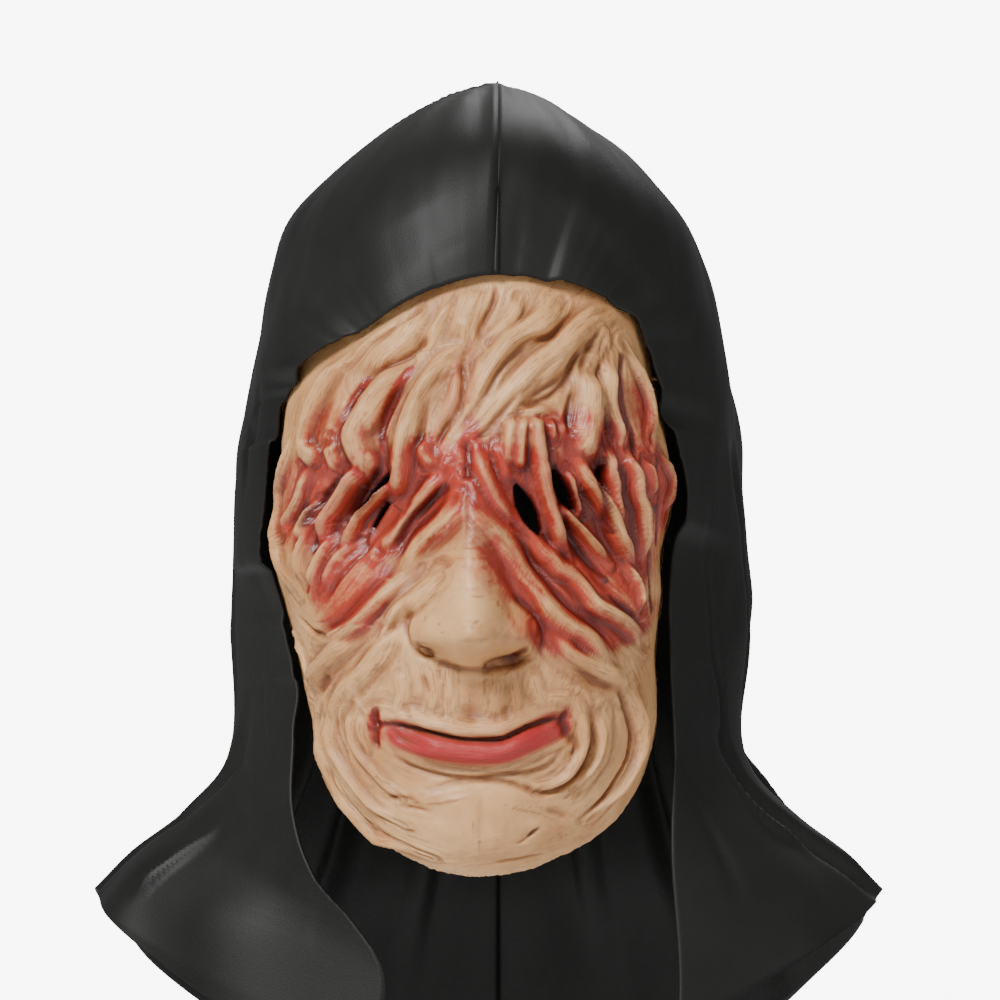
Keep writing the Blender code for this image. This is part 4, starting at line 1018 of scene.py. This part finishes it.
def shell_faces(kept, inner_step=1):
    """Faces of a closed shell over a grid with holes: outer, inner, and the walls where the grid ends.

    Away from the walls the inner faces are larger, where several of its points are drawn into one.
    """
    rows, columns = kept.shape
    index = np.arange(rows * columns).reshape(rows, columns)
    corners = (index[:-1, :-1], index[:-1, 1:], index[1:, 1:], index[1:, :-1])
    quads = np.stack(corners, axis=-1).reshape(-1, 4)
    quads = quads[kept.reshape(-1)[quads].all(axis=1)]
    edges = np.concatenate([quads[:, [k, (k + 1) % 4]] for k in range(4)])
    _, back, count = np.unique(np.sort(edges, axis=1), axis=0, return_inverse=True, return_counts=True)
    open_edges = edges[count[back.reshape(-1)] == 1]
    a, b = open_edges[:, 0], open_edges[:, 1]
    second = rows * columns
    walls = np.stack((b, a, a + second, b + second), axis=-1)
    inner = quads[:, ::-1]
    if inner_step > 1:
        fixed = np.zeros(rows * columns)
        fixed[open_edges] = 1
        near_wall = blurred(fixed.reshape(rows, columns), (1, 2)) > 0
        i, j = np.indices((rows, columns))
        drawn = index[
            np.minimum((i + 1) // inner_step * inner_step, rows - 1),
            np.minimum((j + 1) // inner_step * inner_step, columns - 1),
        ]
        drawn = np.where(near_wall | near_wall.reshape(-1)[drawn], index, drawn).reshape(-1)
        inner = drawn[inner]
        unlike = inner != np.roll(inner, -1, axis=1)
        inner = inner[unlike.sum(axis=1) >= 3]
    return np.concatenate((quads, inner + second, walls))


def mesh_from(name, points, faces, values=None):
    """A mesh of faces with three or four sides from arrays, with the values put on its points."""
    used, faces = np.unique(faces.reshape(-1), return_inverse=True)
    faces = faces.reshape(-1, 4)
    points = points.reshape(-1, 3)[used]
    unlike = faces != np.roll(faces, -1, axis=1)
    sides = unlike.sum(axis=1)
    corners = faces[unlike]
    mesh = bpy.data.meshes.new(name)
    mesh.vertices.add(len(points))
    mesh.vertices.foreach_set("co", points.astype(np.float32).reshape(-1))
    mesh.loops.add(len(corners))
    mesh.loops.foreach_set("vertex_index", corners.astype(np.int32))
    mesh.polygons.add(len(faces))
    starts = np.concatenate(([0], np.cumsum(sides)[:-1]))
    mesh.polygons.foreach_set("loop_start", starts.astype(np.int32))
    mesh.update(calc_edges=True)
    mesh.validate()
    mesh.shade_smooth()
    for label, value in (values or {}).items():
        width = 3 if label == "grain" else 1
        value = value.reshape(-1, width)
        value = np.concatenate((value, value))[used].astype(np.float32)
        if width == 3:
            attribute = mesh.attributes.new(label, "FLOAT_VECTOR", "POINT")
            attribute.data.foreach_set("vector", value.reshape(-1))
        else:
            mesh.attributes.new(label, "FLOAT", "POINT").data.foreach_set("value", value.reshape(-1))
    return mesh


def add_piece(name, mesh, material):
    """A new object for a mesh, with its material, in the scene."""
    old = bpy.data.objects.get(name)
    if old:
        bpy.data.objects.remove(old, do_unlink=True)
    piece = bpy.data.objects.new(name, mesh)
    mesh.materials.append(material)
    bpy.context.scene.collection.objects.link(piece)
    return piece


class Nodes:
    """Short calls for laying out a node tree."""

    def __init__(self, tree):
        self.tree = tree
        self.count = 0

    def add(self, kind, **settings):
        node = self.tree.nodes.new(kind)
        node.location = (200 * (self.count // 6), -160 * (self.count % 6))
        self.count += 1
        for key, value in settings.items():
            setattr(node, key, value)
        return node

    def join(self, source, target):
        self.tree.links.new(source, target)

    def put(self, socket, value):
        if isinstance(value, bpy.types.NodeSocket):
            self.join(value, socket)
        else:
            socket.default_value = value

    def attribute(self, name):
        return self.add("ShaderNodeAttribute", attribute_name=name)

    def value(self, name):
        return self.attribute(name).outputs["Fac"]

    def maths(self, operation, first, second=0.0, clamp=False):
        node = self.add("ShaderNodeMath", operation=operation, use_clamp=clamp)
        self.put(node.inputs[0], first)
        self.put(node.inputs[1], second)
        return node.outputs[0]

    def mix(self, share, first, second):
        node = self.add("ShaderNodeMix", data_type="RGBA")
        self.put(node.inputs[0], share)
        self.put(node.inputs[6], first)
        self.put(node.inputs[7], second)
        return node.outputs[2]

    def noise(self, vector, scale, detail=3.0, roughness=0.55):
        node = self.add("ShaderNodeTexNoise")
        self.join(vector, node.inputs["Vector"])
        node.inputs["Scale"].default_value = scale
        node.inputs["Detail"].default_value = detail
        node.inputs["Roughness"].default_value = roughness
        return node.outputs["Fac"]

    def span(self, value, low, high, to_low=0.0, to_high=1.0):
        node = self.add("ShaderNodeMapRange")
        self.join(value, node.inputs["Value"])
        for key, number in (("From Min", low), ("From Max", high), ("To Min", to_low), ("To Max", to_high)):
            node.inputs[key].default_value = number
        return node.outputs["Result"]


def new_material(name):
    """A material with only a Principled shader and its output."""
    material = bpy.data.materials.new(name)
    material.use_nodes = True
    nodes = Nodes(material.node_tree)
    shader = material.node_tree.nodes["Principled BSDF"]
    return material, nodes, shader


def latex_material(colours):
    """Painted latex: a cream ground, red washed into the hollows, dark wash in the creases, fine streaks.

    The washes run thick in the hollows and thin on the crests, so each is its mask, less the height over
    the surface around, broken up by fine streaks along the strands. The brown and deep paint under the nose
    and in its nostrils is painted shade.
    """
    material, n, shader = new_material("painted_latex")
    place = n.add("ShaderNodeTexCoord").outputs["Object"]
    broad = n.noise(place, 30.0, 4.0)
    fine = n.noise(place, 230.0, 5.0, 0.6)
    stretch = n.add("ShaderNodeMapping")
    stretch.inputs["Scale"].default_value = (1.0, 0.07, 1.0)
    n.join(n.attribute("grain").outputs["Vector"], stretch.inputs["Vector"])
    thin = n.noise(stretch.outputs["Vector"], 1300.0, 3.0, 0.6)
    broad_streaks = n.noise(stretch.outputs["Vector"], 420.0, 3.0, 0.6)
    on_strands = n.value("streak")
    cavity = n.value("cavity")
    hair = n.value("hair")
    crest = n.span(cavity, 0.04, -0.34)
    hollow = n.span(cavity, -0.04, 0.30)
    mottle = n.maths("SUBTRACT", n.maths("ADD", fine, n.maths("MULTIPLY", broad_streaks, on_strands)), 0.75)
    ground = n.mix(n.span(broad, 0.36, 0.66), (*colours.pale, 1), (*colours.tan, 1))
    ground = n.mix(n.maths("MULTIPLY", n.value("flesh"), 0.6), ground, (*colours.flesh, 1))
    brown_and_shade = n.maths("MULTIPLY", n.value("brown_and_shade"), n.span(fine, 0.30, 0.60, 0.25, 0.8))
    ground = n.mix(brown_and_shade, ground, (*colours.tan, 1))
    red = n.maths("MULTIPLY", n.value("red"), 1.35)
    red = n.maths("SUBTRACT", red, n.maths("MULTIPLY", crest, 1.30))
    red = n.maths("ADD", red, n.maths("MULTIPLY", hair, 0.14))
    red = n.maths("ADD", red, n.maths("MULTIPLY", mottle, 1.0), clamp=True)
    red = n.maths("MULTIPLY", red, n.span(n.value("red"), 0.0, 0.6))
    ground = n.mix(n.maths("MULTIPLY", red, 0.9), ground, (*colours.red, 1))
    ground = n.mix(n.value("lip"), ground, (*colours.lip, 1))
    line = n.maths("MULTIPLY", n.span(thin, 0.53, 0.66), on_strands)
    line = n.maths("MAXIMUM", line, n.span(hair, 1.1, 2.3))
    ground = n.mix(n.maths("MULTIPLY", line, 0.5), ground, (*colours.brown_and_shade, 1))
    wash = n.maths("ADD", hollow, n.maths("MULTIPLY", mottle, 0.5), clamp=True)
    wash = n.maths("MULTIPLY", wash, n.span(hollow, 0.0, 0.2))
    # Brown paint in the hollows turns dark; under the nose this is painted shade
    wash = n.maths("MAXIMUM", wash, n.maths("MULTIPLY", n.value("brown_and_shade"), hollow))
    in_red = n.span(n.value("red"), 0.15, 0.6)
    dark = n.mix(in_red, (*colours.brown_and_shade, 1), (*colours.deep, 1))
    ground = n.mix(n.maths("MULTIPLY", wash, 0.85), ground, dark)
    # Deep paint and the slits' edges turn near-black; in the nostrils this is painted shade
    deep = n.maths("MAXIMUM", n.value("deep"), n.span(n.value("slit"), 0.0018, 0.0))
    ground = n.mix(n.maths("MULTIPLY", deep, 0.85), ground, (*colours.deep, 1))
    n.join(ground, shader.inputs["Base Color"])
    gloss = n.maths("SUBTRACT", n.span(fine, 0.2, 0.8, 0.42, 0.54), n.maths("MULTIPLY", red, 0.16))
    n.join(gloss, shader.inputs["Roughness"])
    relief = n.maths("ADD", n.maths("MULTIPLY", thin, on_strands), n.maths("MULTIPLY", fine, 0.6))
    bump = n.add("ShaderNodeBump")
    bump.inputs["Strength"].default_value = 0.45
    bump.inputs["Distance"].default_value = 0.0009
    n.join(relief, bump.inputs["Height"])
    n.join(bump.outputs["Normal"], shader.inputs["Normal"])
    return material


def length_property(name, description, default):
    """A length as a property, in metres."""
    return bpy.props.FloatProperty(name=name, description=description, default=default, unit="LENGTH")


class MASK_PG_face(bpy.types.PropertyGroup):
    """Sizes of the latex face."""

    width: length_property("Width", "Width across the face's edge", 0.172)
    height: length_property("Height", "Height from brow edge to chin", 0.272)
    depth: length_property("Depth", "Depth from the front to the side edge", 0.073)
    rim_turn: length_property("Rim", "Length of wall behind the edge", 0.022)
    wall: length_property("Wall", "Thickness of the latex", 0.0035)
    nose: length_property("Nose", "Height of the nose over the face", 0.032)
    socket: length_property("Eye hollows", "Depth of the eye hollows", 0.012)
    lip: length_property("Lips", "Height of the muzzle and chin", 0.006)
    strand: length_property("Strands", "Height of a melted strand", 0.0068)


def colour_property(name, description, default):
    """A colour as a property of three linear values."""
    return bpy.props.FloatVectorProperty(
        name=name, description=description, default=default, subtype="COLOR", size=3, min=0, max=1
    )


class MASK_PG_paint(bpy.types.PropertyGroup):
    """Colours of the mask's paint."""

    pale: colour_property("Pale", "Ground colour of the strands", (0.76, 0.43, 0.19))
    tan: colour_property("Tan", "Darker patches of the ground", (0.56, 0.27, 0.10))
    flesh: colour_property("Flesh", "Pinkish valleys", (0.55, 0.18, 0.09))
    red: colour_property("Red", "Raw red of the hollows", (0.40, 0.014, 0.012))
    lip: colour_property("Lip", "Red of the lower lip", (0.42, 0.020, 0.022))
    # Brown paint, which under the nose is painted shade
    brown_and_shade: colour_property("Brown", "Dark wash in the creases", (0.20, 0.055, 0.015))
    # Deep near-black paint, which in the nostrils is painted shade
    deep: colour_property("Deep", "Darkest red round the slits", (0.075, 0.003, 0.002))


class MASK_OT_face(bpy.types.Operator):
    """Build the latex face over its node."""

    bl_idname = "mask.face"
    bl_label = "Latex Face"

    def execute(self, context):
        sizes = context.scene.mask_face
        outer, inner, kept, values = build_face(sizes)
        faces = shell_faces(kept, INNER_STEP)
        mesh = mesh_from("latex_face", np.concatenate((outer, inner)), faces, values)
        piece = add_piece("latex_face", mesh, latex_material(context.scene.mask_paint))
        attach(piece, "root")
        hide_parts("face_mask")
        return {"FINISHED"}


def cloth_material():
    """Dark satin: a fine weave in the relief and slight changes of gloss and colour."""
    material, n, shader = new_material("hood_satin")
    place = n.add("ShaderNodeTexCoord").outputs["Object"]
    broad = n.noise(place, 14.0, 3.0)
    weave = n.noise(place, 1500.0, 2.0)
    tone = n.mix(n.span(broad, 0.3, 0.7), (0.0085, 0.0085, 0.0080, 1), (0.014, 0.014, 0.013, 1))
    n.join(tone, shader.inputs["Base Color"])
    shader.inputs["Specular IOR Level"].default_value = 0.22
    n.join(n.span(broad, 0.3, 0.7, 0.46, 0.56), shader.inputs["Roughness"])
    bump = n.add("ShaderNodeBump")
    bump.inputs["Strength"].default_value = 0.3
    bump.inputs["Distance"].default_value = 0.0003
    n.join(weave, bump.inputs["Height"])
    n.join(bump.outputs["Normal"], shader.inputs["Normal"])
    return material


class MASK_PG_hood(bpy.types.PropertyGroup):
    """Sizes of the hood."""

    height: length_property("Height", "Height from crown to hem", 0.450)
    width: length_property("Width", "Width over the sides of the head", 0.226)
    depth: length_property("Depth", "Depth from forehead to back", 0.234)
    shift: length_property("Shift", "How far its middle lies to the wearer's left", 0.003)
    seam_shift: length_property("Seam shift", "How far the seam lies beside the middle", 0.004)
    cloth: length_property("Cloth", "Thickness of the cloth", 0.0012)
    fold: length_property("Folds", "Height of a deep fold", 0.010)
    edge_lift: length_property("Edge lift", "Gap from face to front edge", 0.0022)


class MASK_OT_hood(bpy.types.Operator):
    """Build the hood's two cloth panels over their nodes."""

    bl_idname = "mask.hood"
    bl_label = "Cloth Hood"

    def execute(self, context):
        sizes = context.scene.mask_hood
        form = HoodForm(sizes, FaceForm(context.scene.mask_face))
        material = cloth_material()
        for node, side in (("hood_right", 1), ("hood_left", -1)):
            outer, inner = form.panel(node, side)
            faces = shell_faces(np.ones(outer.shape[:2], bool))
            if side < 0:
                faces = faces[:, ::-1]
            name = node.replace("hood", "cloth")
            piece = add_piece(name, mesh_from(name, np.concatenate((outer, inner)), faces), material)
            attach(piece, "root")
            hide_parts(node)
        return {"FINISHED"}


class MASK_OT_stage(bpy.types.Operator):
    """Set the floor, the soft lights and the camera."""

    bl_idname = "mask.stage"
    bl_label = "Stage"

    def execute(self, context):
        scene = context.scene
        material, n, shader = new_material("pale_floor")
        shader.inputs["Base Color"].default_value = (0.86, 0.86, 0.86, 1)
        shader.inputs["Roughness"].default_value = 0.8
        bpy.ops.mesh.primitive_circle_add(vertices=96, radius=3.0, fill_type="NGON", location=(0, 0, -0.76))
        floor = context.active_object
        floor.name = "floor"
        floor.data.materials.append(material)
        world = bpy.data.worlds.new("studio")
        world.use_nodes = True
        n = Nodes(world.node_tree)
        background = world.node_tree.nodes["Background"]
        background.inputs["Color"].default_value = (1, 1, 1, 1)
        seen = n.add("ShaderNodeLightPath").outputs["Is Camera Ray"]
        n.join(n.maths("ADD", n.maths("MULTIPLY", seen, 8.0), 0.26), background.inputs["Strength"])
        scene.world = world
        for name, place, size, energy in (
            ("key light", (-0.9, -1.7, 1.2), 0.7, 76),
            ("fill light", (1.8, -1.6, 0.2), 1.4, 10),
            ("rim light", (0.4, 1.6, 1.6), 1.2, 25),
        ):
            light = bpy.data.lights.new(name, "AREA")
            light.energy = energy
            light.size = size
            lamp = bpy.data.objects.new(name, light)
            lamp.location = place
            aim = np.array((0, 0, -0.2)) - np.array(place)
            lamp.rotation_euler = direction_to_euler(aim)
            scene.collection.objects.link(lamp)
        camera = bpy.data.cameras.new("camera")
        camera.clip_end = 50
        camera.lens = camera.sensor_width * CAMERA_DISTANCE / (2 * PHOTO_MIDDLE * PIXEL)
        eye = bpy.data.objects.new("camera", camera)
        across = (PHOTO_MIDDLE - ORIGIN_COLUMN) * PIXEL
        eye.location = (across, FACE_PLANE - CAMERA_DISTANCE, (ORIGIN_ROW - PHOTO_MIDDLE) * PIXEL)
        eye.rotation_euler = (math.radians(90), 0, 0)
        scene.collection.objects.link(eye)
        scene.camera = eye
        return {"FINISHED"}


def direction_to_euler(aim):
    """The turns that point a light or camera along a direction."""
    flat = math.hypot(aim[0], aim[1])
    return math.atan2(flat, -aim[2]), 0, math.atan2(aim[1], aim[0]) - math.pi / 2


class MASK_PT_mask(bpy.types.Panel):
    """The mask's sizes and colours, and the steps that build it."""

    bl_idname = "MASK_PT_mask"
    bl_label = "Melted Face Mask"
    bl_space_type = "VIEW_3D"
    bl_region_type = "UI"
    bl_category = "Mask"

    def draw(self, context):
        for operator, settings in (
            (MASK_OT_face, (context.scene.mask_face, context.scene.mask_paint)),
            (MASK_OT_hood, (context.scene.mask_hood,)),
            (MASK_OT_stage, ()),
        ):
            box = self.layout.box()
            for group in settings:
                for key in type(group).__annotations__:
                    box.prop(group, key)
            box.operator(operator.bl_idname)


GROUPS = {"mask_face": MASK_PG_face, "mask_paint": MASK_PG_paint, "mask_hood": MASK_PG_hood}
CLASSES = (*GROUPS.values(), MASK_OT_face, MASK_OT_hood, MASK_OT_stage, MASK_PT_mask)


def register():
    """Make the classes known, and give the scene its groups of settings."""
    for cls in CLASSES:
        bpy.utils.register_class(cls)
    for name, group in GROUPS.items():
        setattr(bpy.types.Scene, name, bpy.props.PointerProperty(type=group))


def unregister():
    """Take back what register made."""
    for name in GROUPS:
        delattr(bpy.types.Scene, name)
    for cls in reversed(CLASSES):
        bpy.utils.unregister_class(cls)


def main():
    """Build the stage and the pieces in order."""
    register()
    bpy.ops.mask.stage()
    bpy.ops.mask.face()
    bpy.ops.mask.hood()


if __name__ == "__main__":
    main()
